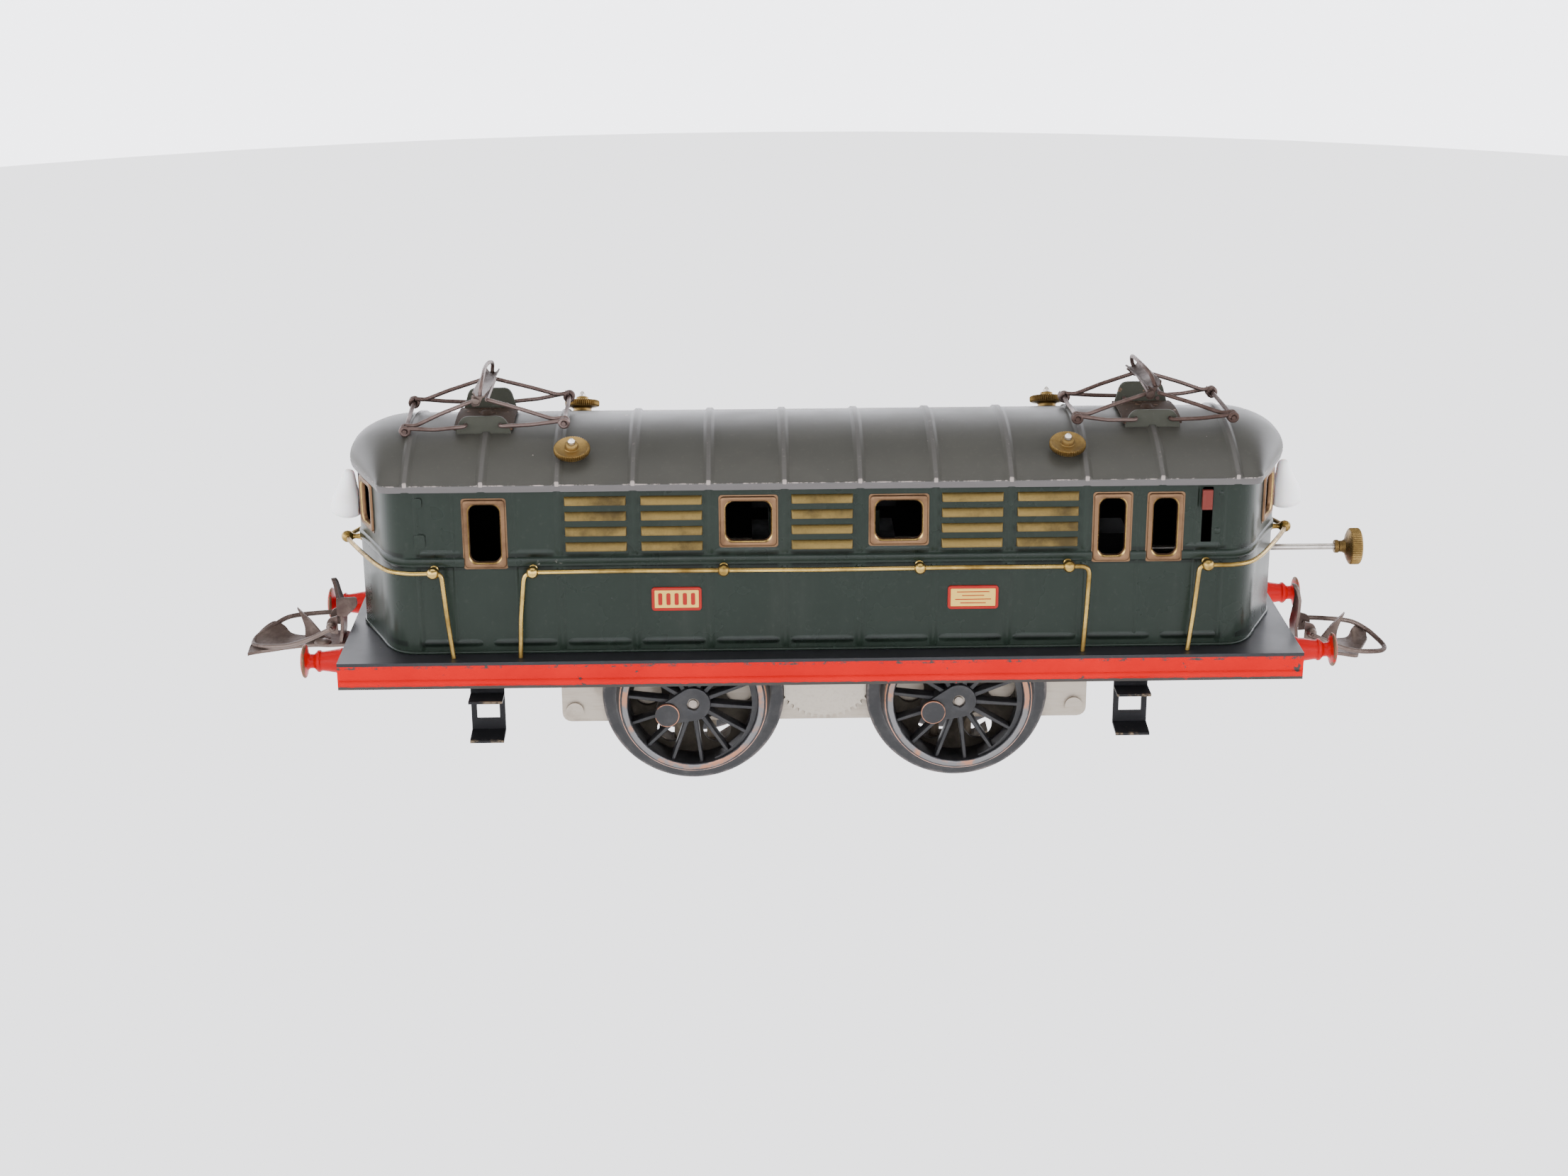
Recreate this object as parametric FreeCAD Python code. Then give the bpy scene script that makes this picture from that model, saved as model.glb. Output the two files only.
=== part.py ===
import FreeCAD, Part
import math
import os

# Model electric locomotive, 0 gauge. Millimetres.
# +X along the locomotive, -Y is the near side, +Z up.
# Origin: middle of the deck in plan, on the surface the wheel flanges stand on.

V = FreeCAD.Vector
X = V(1, 0, 0)
Y = V(0, 1, 0)
Z = V(0, 0, 1)

# ---- driving dimensions -------------------------------------------------
DECK_HALF_LENGTH = 112.0
DECK_HALF_WIDTH = 31.1
DECK_TOP = 36.5
SHEET = 0.8
SKIRT_BOTTOM = 30.0

BODY_HALF_WIDTH = 25.3
BODY_TOP = 79.0
BODY_CORNER = (95.0, 103.0, 15.6, 109.2, 2.0)
RIB_PITCH = 17.25
RIB_SHIFT = 0.3
RIB_COUNT = 12
BELT_LOW = 57.9
BELT_HIGH = 59.9

ROOF_RADIUS = 50.4
ROOF_CROWN = 86.1
ROOF_EAVE_LOW = 76.2
ROOF_HALF_WIDTH = 27.4
ROOF_THICK = 0.9

DRIVE_X = 1.3
WHEELBASE = 63.0
AXLE_Z = 21.7
FLANGE_R = 21.7
TREAD_R = 18.6
FACE_R = 17.6
WHEEL_FACE_Y = 21.5
WHEEL_BACK_Y = 14.3
AXLE_R = 1.5

PLATE_HALF_LENGTH = 63.2
PLATE_Y = 11.0
PLATE_T = 1.0
PLATE_LOW = 13.7
PLATE_HIGH = 52.0

GEAR_MODULE = 0.5
AXLE_TEETH = 78
IDLER_TEETH = 50
PINION_TEETH = 12

RAIL_Z = 57.4
RAIL_Y = 28.4
RAIL_R = 0.55

COUPLER_Y = 6.0
COUPLER_PIVOT_X = 105.0

PANTO_X = 78.0
PANTO_ARM_Y = 11.0
PANTO_EAR_Y = 8.8
PANTO_EAR_T = 0.8
PANTO_BASE_DX = 4.0
PANTO_KNEE_DX = 18.5
PANTO_HEAD_DX = 1.2
PANTO_BASE_Z = 87.3
PANTO_KNEE_Z = 87.7
PANTO_HEAD_Z = 93.4
WIRE_R = 0.45

NUT_X = 56.8
NUT_Y = 19.3
STUD_R = 0.8
ROD_Z = 52.1
LEVER_X = 88.7
LEVER_PIVOT = (-15.0, 69.0)

RUN = 0.06


# ---- small helpers ------------------------------------------------------
def box(x0, x1, y0, y1, z0, z1):
    return Part.makeBox(x1 - x0, y1 - y0, z1 - z0, V(x0, y0, z0))


def cyl(x, y, z, radius, length, axis):
    return Part.makeCylinder(radius, length, V(x, y, z), axis)


def plan(points, z0, z1):
    """Closed outline in X and Y, raised from z0 to z1."""
    corners = [V(px, py, z0) for px, py in points]
    face = Part.Face(Part.makePolygon(corners + [corners[0]]))
    return face.extrude(V(0, 0, z1 - z0))


def side(points, y0, y1):
    """Closed outline in X and Z, carried from y0 to y1."""
    corners = [V(px, y0, pz) for px, pz in points]
    face = Part.Face(Part.makePolygon(corners + [corners[0]]))
    return face.extrude(V(0, y1 - y0, 0))


def end(points, x0, x1):
    """Closed outline in Y and Z, carried from x0 to x1."""
    corners = [V(x0, py, pz) for py, pz in points]
    face = Part.Face(Part.makePolygon(corners + [corners[0]]))
    return face.extrude(V(x1 - x0, 0, 0))


def join(shapes):
    first = shapes[0]
    if len(shapes) == 1:
        return first
    return first.fuse(shapes[1:]).removeSplitter()


def group(shapes):
    return Part.makeCompound(shapes)


def turned(profile, base, axis):
    """Solid of revolution. The profile lists (radius, distance along the axis)."""
    corners = [V(r, 0, h) for r, h in profile]
    face = Part.Face(Part.makePolygon(corners + [corners[0]]))
    solid = face.revolve(V(0, 0, 0), Z, 360)
    spin = FreeCAD.Rotation(Z, axis)
    solid.Placement = FreeCAD.Placement(base, spin)
    return solid


def rod_path(points, radius):
    """Round wire through the points, with rounded corners."""
    pieces = []
    for a, b in zip(points[:-1], points[1:]):
        run = b.sub(a)
        pieces.append(Part.makeCylinder(radius, run.Length, a, run))
    for p in points[1:-1]:
        pieces.append(Part.makeSphere(radius, p))
    return join(pieces)


def arc_points(cx, cy, radius, a0, a1, steps):
    out = []
    for i in range(steps + 1):
        a = math.radians(a0 + (a1 - a0) * i / steps)
        out.append((cx + radius * math.cos(a), cy + radius * math.sin(a)))
    return out


def mirror_plan(quarter):
    """Full outline from the quarter with x > 0 and y < 0, listed from the side to the end."""
    right = quarter + [(px, -py) for px, py in reversed(quarter)]
    left = [(-px, -py) for px, py in right]
    return right + left


def half_turn(shape):
    copy = shape.copy()
    copy.rotate(V(0, 0, 0), Z, 180)
    return copy


def mirrored(shape, normal):
    return shape.mirror(V(0, 0, 0), normal)


def save(name, shape):
    solids = shape.Solids
    shape = solids[0] if len(solids) == 1 else Part.makeCompound(solids)
    shape.exportStep(os.path.join("parts", name + ".step"))
    print(name, len(solids), round(shape.Volume, 1), shape.isValid())


# ---- deck and skirt -----------------------------------------------------
def deck_plate():
    outer = box(-DECK_HALF_LENGTH, DECK_HALF_LENGTH, -DECK_HALF_WIDTH, DECK_HALF_WIDTH,
                DECK_TOP - SHEET, DECK_TOP)
    well = box(DRIVE_X - 66, DRIVE_X + 66, -22.7, 22.7, DECK_TOP - 2, DECK_TOP + 1)
    plate = outer.cut(well)
    holes = [cyl(s * COUPLER_PIVOT_X, -s * COUPLER_Y, 30, 1.0, 10, Z) for s in (-1, 1)]
    return plate.cut(group(holes))


def skirt_frame():
    top = DECK_TOP - SHEET
    outer = box(-DECK_HALF_LENGTH, DECK_HALF_LENGTH, -DECK_HALF_WIDTH, DECK_HALF_WIDTH,
                SKIRT_BOTTOM, top)
    inner = box(-DECK_HALF_LENGTH + SHEET, DECK_HALF_LENGTH - SHEET,
                -DECK_HALF_WIDTH + SHEET, DECK_HALF_WIDTH - SHEET, 0, 60)
    shell = outer.cut(inner)
    beads = []
    for s in (-1, 1):
        y = s * (DECK_HALF_WIDTH - 0.15)
        beads.append(cyl(-DECK_HALF_LENGTH + 0.4, y, SKIRT_BOTTOM + 1.6, 0.7,
                         2 * DECK_HALF_LENGTH - 0.8, X))
    return join([shell] + beads)


# ---- body ---------------------------------------------------------------
def body_quarter(inset):
    side_x, corner_x, corner_y, nose_x, nose_y = BODY_CORNER
    return [(side_x - 0.41 * inset, -BODY_HALF_WIDTH + inset),
            (corner_x - 0.86 * inset, -corner_y + 0.35 * inset),
            (nose_x - inset, -nose_y + 0.2 * inset)]


def body_prism(inset, z0, z1):
    return plan(mirror_plan(body_quarter(inset)), z0, z1)


def rib_positions():
    return [RIB_PITCH * (i - (RIB_COUNT - 1) / 2) + RIB_SHIFT for i in range(RIB_COUNT)]


# near-side openings: name, centre x, width, low z, high z
WINDOWS = [("door", -77.05, 10.3, 57.3, 74.3),
           ("square_a", -16.6, 13.6, 61.9, 74.5),
           ("square_b", 17.9, 13.9, 61.9, 74.4),
           ("tall_a", 67.0, 9.2, 57.4, 74.3),
           ("tall_b", 79.2, 8.7, 57.4, 74.2)]
FRAME_BORDER = 1.25


def rounded_panel(cx, width, z0, z1, radius, y0, y1):
    half = width / 2
    outline = []
    outline += arc_points(cx + half - radius, z1 - radius, radius, 0, 90, 4)
    outline += arc_points(cx - half + radius, z1 - radius, radius, 90, 180, 4)
    outline += arc_points(cx - half + radius, z0 + radius, radius, 180, 270, 4)
    outline += arc_points(cx + half - radius, z0 + radius, radius, 270, 360, 4)
    return side(outline, y0, y1)


def window_hole(cx, width, z0, z1):
    b = FRAME_BORDER
    return rounded_panel(cx, width - 2 * b, z0 + b, z1 - b, 0.8, -30, -20)


def window_frame(cx, width, z0, z1):
    y = -BODY_HALF_WIDTH
    outer = rounded_panel(cx, width, z0, z1, 1.3, y - 0.6, y)
    return outer.cut(window_hole(cx, width, z0, z1))


def side_ribs():
    """Upright pressed ribs and the waist belt on the near side."""
    y = -BODY_HALF_WIDTH
    ribs = []
    for x in rib_positions():
        if abs(x) > 94:
            continue
        pieces = [box(x - 0.8, x + 0.8, y - 0.45, y + 0.3, DECK_TOP + 0.6, BELT_LOW),
                  box(x - 0.8, x + 0.8, y - 0.45, y + 0.3, BELT_HIGH, 76.0)]
        ribs += pieces
    ribs.append(box(-94.8, 94.8, y - 0.4, y + 0.3, BELT_LOW, BELT_HIGH))
    return ribs


def side_cutters():
    """Room for window frames, plates and louvres in the ribs of the near side."""
    y = -BODY_HALF_WIDTH
    cutters = []
    for _, cx, width, z0, z1 in WINDOWS:
        cutters.append(rounded_panel(cx, width, z0, z1, 1.3, y - 2, y))
        cutters.append(window_hole(cx, width, z0, z1))
    return cutters


def lever_slot():
    return box(87.6, 90.0, -30, -20, 61.8, 75.3)


def lever_bracket():
    py, pz = LEVER_PIVOT
    ears = []
    for x in (LEVER_X - 3.0, LEVER_X + 2.2):
        ears.append(box(x, x + 0.8, -BODY_HALF_WIDTH + 0.5, py + 1.2, pz - 1.2, pz + 1.2))
    pin = cyl(LEVER_X - 2.6, py, pz, 0.8, 5.2, X)
    return ears + [pin]


def facet_frame_points():
    """Near corner and far corner of the window facet at the right-hand end."""
    side_x, corner_x, corner_y, nose_x, nose_y = BODY_CORNER
    return V(corner_x, -corner_y, 0), V(nose_x, -nose_y, 0)


def facet_panel(width, z0, z1, depth_in, depth_out, radius):
    """Rounded panel lying on the right-hand near window facet."""
    a, b = facet_frame_points()
    along = b.sub(a)
    length = along.Length
    panel = rounded_panel(0, width, z0, z1, radius, -depth_out, depth_in)
    angle = math.degrees(math.atan2(along.y, along.x))
    panel.rotate(V(0, 0, 0), Z, angle)
    middle = a.add(along.multiply(0.5))
    panel.translate(V(middle.x, middle.y, 0))
    return panel


def four_corners(shape):
    copies = [shape, mirrored(shape, Y), mirrored(shape, X)]
    return copies + [mirrored(copies[1], X)]


FACET_WINDOW = (10.2, 62.2, 74.6)


def body_shell():
    shell = body_prism(0, DECK_TOP, BODY_TOP).cut(body_prism(SHEET, DECK_TOP - 1, BODY_TOP + 1))
    ribs = side_ribs()
    ribs += [half_turn(r) for r in ribs]
    shell = join([shell] + ribs)
    cutters = side_cutters()
    cutters += [half_turn(c) for c in cutters]
    cutters.append(lever_slot())
    width, z0, z1 = FACET_WINDOW
    b = FRAME_BORDER
    hole = facet_panel(width - 2 * b, z0 + b, z1 - b, 3, 3, 0.8)
    cutters += four_corners(hole)
    for s in (-1, 1):
        cutters.append(cyl(s * 104, 0, 70.3, 1.5, 8, V(s, 0, 0)))
    cutters.append(cyl(104, 0, ROD_Z, 0.75 + RUN, 8, X))
    shell = shell.cut(group(cutters))
    shell = shell.common(under_roof())
    return join([shell] + lever_bracket())


def under_roof():
    """Everything that fits below the roof skin."""
    return vault(ROOF_RADIUS - ROOF_THICK - 0.02, ROOF_CROWN - ROOF_THICK - 0.02, 130, 40)


def side_window_frames():
    frames = [window_frame(cx, w, z0, z1) for _, cx, w, z0, z1 in WINDOWS]
    frames += [half_turn(f) for f in frames]
    return group(frames)


def end_window_frames():
    width, z0, z1 = FACET_WINDOW
    b = FRAME_BORDER
    outer = facet_panel(width, z0, z1, 0, 0.6, 1.3)
    inner = facet_panel(width - 2 * b, z0 + b, z1 - b, 3, 3, 0.8)
    return group(four_corners(outer.cut(inner)))


LOUVRE_X = (-51.6, -34.2, 0.3, 34.8, 52.1)
LOUVRE_TOP = 74.5
LOUVRE_PITCH = 3.66
LOUVRE_W = 14.1
LOUVRE_H = 2.3


def louvre_slats():
    y = -BODY_HALF_WIDTH
    slats = []
    for cx in LOUVRE_X:
        for row in range(4):
            top = LOUVRE_TOP - row * LOUVRE_PITCH
            low = top - LOUVRE_H
            wedge = end([(y, low), (y - 1.1, low + 0.25), (y - 0.9, low + 0.7), (y, top)],
                        cx - LOUVRE_W / 2, cx + LOUVRE_W / 2)
            slats.append(wedge)
    slats += [half_turn(s) for s in slats]
    return group(slats)


# near-side plates: centre x, width, low z, high z
SIDE_PLATES = [(-33.4, 11.6, 46.7, 52.4), (35.3, 11.8, 46.3, 52.0)]


def number_plates():
    y = -BODY_HALF_WIDTH
    plates = []
    for cx, width, z0, z1 in SIDE_PLATES:
        plate = box(cx - width / 2, cx + width / 2, y - 0.5, y, z0, z1)
        field = box(cx - width / 2 + 0.7, cx + width / 2 - 0.7, y - 1, y - 0.35, z0 + 0.7, z1 - 0.7)
        plates.append(plate.cut(field))
    plates += [half_turn(p) for p in plates]
    return group(plates)


# ---- roof ---------------------------------------------------------------
def vault(radius, crown, half_length, half_width):
    """Round-topped barrel along X, solid down to a level well below the eaves."""
    barrel = cyl(-half_length, 0, crown - radius, radius, 2 * half_length, X)
    keep = box(-half_length, half_length, -half_width, half_width, 60, 100)
    low = box(-half_length, half_length, -half_width, half_width, 20, 62)
    return join([barrel.common(keep), low])


def roof_end_profile(inset):
    """Side outline of the roof: flat crown falling in an ellipse at both ends."""
    x_end = 110.5 - inset
    rise = ROOF_CROWN + 1.5 - inset - 77.4
    right = []
    for i in range(13):
        a = math.radians(90 * i / 12)
        right.append((x_end - 13.5 + 13.5 * math.cos(a), 77.4 + rise * math.sin(a)))
    left = [(-px, pz) for px, pz in reversed(right)]
    return [(x_end, 60.0)] + right + left + [(-x_end, 60.0)]


def roof_quarter(inset):
    return [(98.5 - 0.35 * inset, -ROOF_HALF_WIDTH + inset),
            (101.5 - 0.8 * inset, -25.0 + 0.7 * inset),
            (110.5 - inset, -4.5 + 0.2 * inset)]


def roof_block(inset, z0):
    block = plan(mirror_plan(roof_quarter(inset)), z0, 100)
    block = block.common(vault(ROOF_RADIUS - inset, ROOF_CROWN - inset, 130, 40))
    return block.common(side(roof_end_profile(inset), -40, 40))


def rib_discs():
    """One flat disc per rib, standing 0.5 proud of the barrel of the roof."""
    axis_z = ROOF_CROWN - ROOF_RADIUS
    return [cyl(x - 0.75, 0, axis_z, ROOF_RADIUS + 0.5, 1.5, X) for x in rib_positions()]


def ribbed_block():
    """The outside of the roof as a solid block, ribs included."""
    barrel = cyl(-130, 0, ROOF_CROWN - ROOF_RADIUS, ROOF_RADIUS, 260, X)
    upper = barrel.fuse(rib_discs()).common(box(-130, 130, -40, 40, 60, 100))
    form = join([upper, box(-130, 130, -40, 40, 20, 62)])
    block = plan(mirror_plan(roof_quarter(0)), ROOF_EAVE_LOW, 100).common(form)
    return block.common(side(roof_end_profile(0), -40, 40))


def stud_axis(sy):
    lean = math.asin(NUT_Y / ROOF_RADIUS)
    return V(0, sy * math.sin(lean), math.cos(lean))


def stud_base(sx, sy):
    height = ROOF_CROWN - ROOF_RADIUS + math.sqrt(ROOF_RADIUS ** 2 - NUT_Y ** 2)
    return V(sx * NUT_X, sy * NUT_Y, height)


def roof_shell():
    shell = ribbed_block().cut(roof_block(ROOF_THICK, ROOF_EAVE_LOW - 5))
    holes = []
    for sx in (-1, 1):
        for sy in (-1, 1):
            low = stud_base(sx, sy).sub(stud_axis(sy).multiply(4))
            holes.append(Part.makeCylinder(STUD_R, 8, low, stud_axis(sy)))
    return shell.cut(group(holes))


def roof_studs():
    """Screws from inside the roof, each ending in a point above its nut."""
    profile = [(0, -3), (2.2, -3), (2.2, -2), (STUD_R, -2), (STUD_R, 4.5), (0.25, 5.2), (0, 5.2)]
    studs = []
    for sx in (-1, 1):
        for sy in (-1, 1):
            studs.append(turned(profile, stud_base(sx, sy), stud_axis(sy)))
    return group(studs)


def thumb_nut(sx, sy):
    profile = [(STUD_R + RUN, 0.1), (2.3, 0.1), (2.3, 1.2), (3.9, 1.3), (4.2, 1.6), (4.2, 2.6),
               (3.9, 2.9), (3.3, 2.75), (1.5, 2.65), (1.35, 2.8), (1.3, 3.7), (1.15, 3.9),
               (STUD_R + RUN, 3.9)]
    return turned(profile, stud_base(sx, sy), stud_axis(sy))


# ---- hand rails ---------------------------------------------------------
def knob(x, y, z, wall, ball):
    """Stanchion: a ball on the rail and a stem back to the wall."""
    stem = Part.makeCylinder(0.6, wall.sub(ball).Length, ball, wall.sub(ball))
    return stem.fuse(Part.makeSphere(1.4, V(x, y, z)))


def main_rail():
    """Rail along the near side, both feet on the deck."""
    y = -RAIL_Y
    path = [V(-69.7, y, DECK_TOP), V(-69.7, y, RAIL_Z - 2.0)]
    for px, pz in arc_points(-67.7, RAIL_Z - 2.0, 2.0, 180, 90, 4)[1:]:
        path.append(V(px, y, pz))
    for px, pz in arc_points(59.2, RAIL_Z - 2.0, 2.0, 90, 0, 4):
        path.append(V(px, y, pz))
    path.append(V(61.2, y, DECK_TOP))
    pieces = [rod_path(path, RAIL_R)]
    for x in (-66.2, -22.4, 22.7, 57.0):
        ball = V(x, y, RAIL_Z)
        pieces.append(knob(x, y, RAIL_Z, V(x, -BODY_HALF_WIDTH - 0.4, RAIL_Z), ball))
    return join(pieces)


def main_handrails():
    rail = main_rail()
    return group([rail, half_turn(rail)])


def corner_rail():
    """Rail wrapped round the right-hand end, feet on the deck at both sides."""
    y = RAIL_Y
    foot_x = 85.4
    flat = [(foot_x + 2.0, -y), (95.5, -y), (99.0, -25.8), (105.2, -18.0), (111.3, -6.0),
            (112.6, -2.0), (112.8, 0.0)]
    path = [V(foot_x, -y, DECK_TOP), V(foot_x, -y, RAIL_Z - 2.0)]
    for px, pz in arc_points(foot_x + 2.0, RAIL_Z - 2.0, 2.0, 180, 90, 4)[1:]:
        path.append(V(px, -y, pz))
    path += [V(px, py, RAIL_Z) for px, py in flat[1:]]
    mirrored_path = [V(p.x, -p.y, p.z) for p in reversed(path[:-1])]
    pieces = [rod_path(path + mirrored_path, RAIL_R)]
    for sy in (-1, 1):
        ball = V(89.0, sy * y, RAIL_Z)
        wall = V(89.0, sy * (BODY_HALF_WIDTH + 0.4), RAIL_Z)
        pieces.append(knob(ball.x, ball.y, ball.z, wall, ball))
    ball = V(112.8, 0, RAIL_Z)
    pieces.append(knob(112.8, 0, RAIL_Z, V(BODY_CORNER[3], 0, RAIL_Z), ball))
    return join(pieces)


def corner_handrails():
    rail = corner_rail()
    return group([rail, half_turn(rail)])


# ---- buffers, steps, lamps ----------------------------------------------
def buffer(sy):
    profile = [(0, 0), (3.1, 0), (3.1, 0.5), (2.9, 0.9), (2.35, 5.0), (2.35, 5.4), (2.6, 5.6),
               (2.6, 6.1), (1.9, 6.4), (1.7, 7.0), (1.7, 8.0), (2.4, 8.6), (3.95, 9.0),
               (4.0, 9.4), (3.3, 9.8), (1.8, 10.1), (0, 10.2)]
    return turned(profile, V(DECK_HALF_LENGTH, sy * 20.3, 33.2), X)


def buffers():
    right = [buffer(-1), buffer(1)]
    return right


def step(cx):
    """Two-tread hanging step on the near side."""
    half = 3.95
    y = -DECK_HALF_WIDTH + SHEET
    back = y + 2.6
    front = -33.4
    t = 0.6
    strip = [(y, 30.0), (back, 29.2), (back, 18.6), (front, 17.9), (front, 17.3),
             (back + t, 18.0), (back + t, 29.6), (y + 0.3, 30.6), (y, 31.4)]
    outer = end(strip, cx - half, cx + half)
    gap = box(cx - half + 1.3, cx + half - 1.3, back - 1, back + t + 1, 21.2, 26.8)
    tread = box(cx - half, cx + half, front, back + 0.2, 27.0, 27.6)
    return join([outer.cut(gap), tread])


STEP_X = (-77.9, 72.5)


def footsteps():
    near = [step(x) for x in STEP_X]
    return group(near + [half_turn(s) for s in near])


def headlamp():
    """White pear-shaped lamp on the right-hand end, with its neck through the wall."""
    profile = [(0, 0), (1.2, 0.2), (1.8, 1.4), (2.2, 3.0), (3.1, 5.4), (3.9, 8.2), (4.05, 9.4),
               (3.5, 10.9), (2.0, 11.7), (0, 12.0)]
    lamp = turned(profile, V(111.2, 0, 74.2), V(0.12, 0, -1))
    lamp = lamp.cut(box(90, BODY_CORNER[3] + 0.05, -20, 20, 50, 90))
    neck = cyl(BODY_CORNER[3] - 3.2, 0, 70.3, 1.45, 4.4, X)
    return join([lamp, neck])


# ---- pantographs --------------------------------------------------------
def ring(x, y, z, r_out, r_in, width):
    outer = cyl(x, y - width / 2, z, r_out, width, Y)
    inner = cyl(x, y - width, z, r_in, 2 * width, Y)
    return outer.cut(inner)


def link(x0, z0, x1, z1, y, trim0, trim1):
    """Straight wire in the plane y between two pivots, stopping short of each."""
    a = V(x0, y, z0)
    b = V(x1, y, z1)
    run = b.sub(a)
    step_dir = V(run.x, run.y, run.z).normalize()
    start = a.add(V(step_dir.x, 0, step_dir.z).multiply(trim0))
    length = run.Length - trim0 - trim1
    return Part.makeCylinder(WIRE_R, length, start, step_dir)


def panto_base(cx):
    """Folded bracket on the roof about cx: two ears inside the arms, with the pins outward."""
    low = ROOF_CROWN - ROOF_RADIUS
    reach = PANTO_EAR_Y + PANTO_EAR_T
    plate = box(cx - 6.9, cx + 6.9, -reach, reach, 80, 90)
    pieces = [plate.common(cyl(cx - 20, 0, low, ROOF_RADIUS + 1.1, 40, X))]
    for sy in (-1, 1):
        outline = [(cx - 6.9, 82.0), (cx + 6.9, 82.0), (cx + 6.9, 85.6), (cx + 4.65, 90.5),
                   (cx + 3.9, 91.1), (cx - 3.9, 91.1), (cx - 4.65, 90.5), (cx - 6.9, 85.6)]
        y0 = PANTO_EAR_Y if sy > 0 else -reach
        pieces.append(side(outline, y0, y0 + PANTO_EAR_T))
        p0 = PANTO_EAR_Y + 0.4 if sy > 0 else -PANTO_ARM_Y - 0.75
        for dx in (-PANTO_BASE_DX, PANTO_BASE_DX):
            pieces.append(cyl(cx + dx, p0, PANTO_BASE_Z, 0.6, PANTO_ARM_Y - PANTO_EAR_Y + 0.35, Y))
    roof = cyl(cx - 20, 0, low, ROOF_RADIUS, 40, X)
    return join(pieces).cut(group([roof])).cut(group(rib_discs()))


def panto_lower():
    """Lower frame on the +X side, with the knee rod across it."""
    pieces = []
    for sy in (-1, 1):
        y = sy * PANTO_ARM_Y
        pieces.append(ring(PANTO_BASE_DX, y, PANTO_BASE_Z, 1.25, 0.6 + RUN, 1.1))
        pieces.append(link(PANTO_BASE_DX, PANTO_BASE_Z, PANTO_KNEE_DX, PANTO_KNEE_Z, y, 0.9, 0.2))
        pieces.append(cyl(PANTO_KNEE_DX, y - 0.55, PANTO_KNEE_Z, 1.1, 1.1, Y))
    length = 2 * PANTO_ARM_Y
    pieces.append(cyl(PANTO_KNEE_DX, -PANTO_ARM_Y, PANTO_KNEE_Z, WIRE_R, length, Y))
    return join(pieces)


def panto_upper(rod_half):
    """Upper frame on the +X side, turning on the knee rod, with the head rod across its top."""
    pieces = []
    for sy in (-1, 1):
        y = sy * (PANTO_ARM_Y - 1.3)
        pieces.append(ring(PANTO_KNEE_DX, y, PANTO_KNEE_Z, 1.05, WIRE_R + RUN, 1.1))
        pieces.append(link(PANTO_KNEE_DX, PANTO_KNEE_Z, PANTO_HEAD_DX, PANTO_HEAD_Z, y, 0.8, 0))
    pieces.append(cyl(PANTO_HEAD_DX, -rod_half, PANTO_HEAD_Z, WIRE_R, 2 * rod_half, Y))
    return join(pieces)


def panto_shoe(tilt):
    """Trough with a wire bow, hung on the head rod at -X; tilt is its lean in degrees."""
    trough = side([(-2.6, 95.1), (-1.9, 94.5), (1.9, 94.5), (2.6, 95.1), (2.6, 95.7),
                   (1.7, 95.1), (-1.7, 95.1), (-2.6, 95.7)], -11.8, 11.8)
    pieces = [trough]
    for sy in (-1, 1):
        y = sy * 11.0
        hanger = box(-PANTO_HEAD_DX - 1.1, -PANTO_HEAD_DX + 1.1, y - 0.4, y + 0.4,
                     PANTO_HEAD_Z - 1.1, 94.7)
        hole = cyl(-PANTO_HEAD_DX, y - 1, PANTO_HEAD_Z, WIRE_R + RUN, 2, Y)
        pieces.append(hanger.cut(hole))
    arch = [V(0, -10.9, 94.9)]
    for i in range(1, 12):
        a = math.radians(180 - 180 * i / 12)
        arch.append(V(0, 10.9 * math.cos(a), 95.4 + 4.4 * math.sin(a)))
    arch.append(V(0, 10.9, 94.9))
    pieces.append(rod_path(arch, 0.5))
    shoe = join(pieces)
    shoe.rotate(V(-PANTO_HEAD_DX, 0, PANTO_HEAD_Z), Y, tilt)
    return shoe


def place(shape, x, flip):
    copy = mirrored(shape, X) if flip else shape.copy()
    copy.translate(V(x, 0, 0))
    return copy


# ---- running gear -------------------------------------------------------
def gear_height():
    """Height of the idler above the axles, from the pitch radii."""
    reach = GEAR_MODULE * (AXLE_TEETH + IDLER_TEETH) / 2
    return math.sqrt(reach ** 2 - (WHEELBASE / 2) ** 2)


IDLER_Z = AXLE_Z + gear_height()
ARMATURE_Z = IDLER_Z + GEAR_MODULE * (IDLER_TEETH + PINION_TEETH) / 2
GEAR_Y0 = -13.7
GEAR_Y1 = -12.5


def gear(teeth, cx, cz, phase):
    """Spur gear about Y with a tooth centred on the angle phase (degrees from +X to +Z)."""
    pitch_r = GEAR_MODULE * teeth / 2
    root_r = pitch_r - 1.1 * GEAR_MODULE
    tip_r = pitch_r + 0.8 * GEAR_MODULE
    step_a = 2 * math.pi / teeth
    outline = []
    for i in range(teeth):
        middle = math.radians(phase) + i * step_a
        for frac, radius in ((-0.27, root_r), (-0.11, tip_r), (0.11, tip_r), (0.27, root_r)):
            a = middle + frac * step_a
            outline.append((cx + radius * math.cos(a), cz + radius * math.sin(a)))
    return side(outline, GEAR_Y0, GEAR_Y1)


def mesh_phase(angle, driver_teeth, driver_phase, teeth):
    """Phase of a gear that meshes with a driver lying in the direction angle + 180."""
    pitch = 360.0 / driver_teeth
    offset = (driver_phase - angle + pitch / 2) % pitch - pitch / 2
    gap = angle + 180.0 - offset * driver_teeth / teeth
    return gap + 180.0 / teeth


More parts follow.
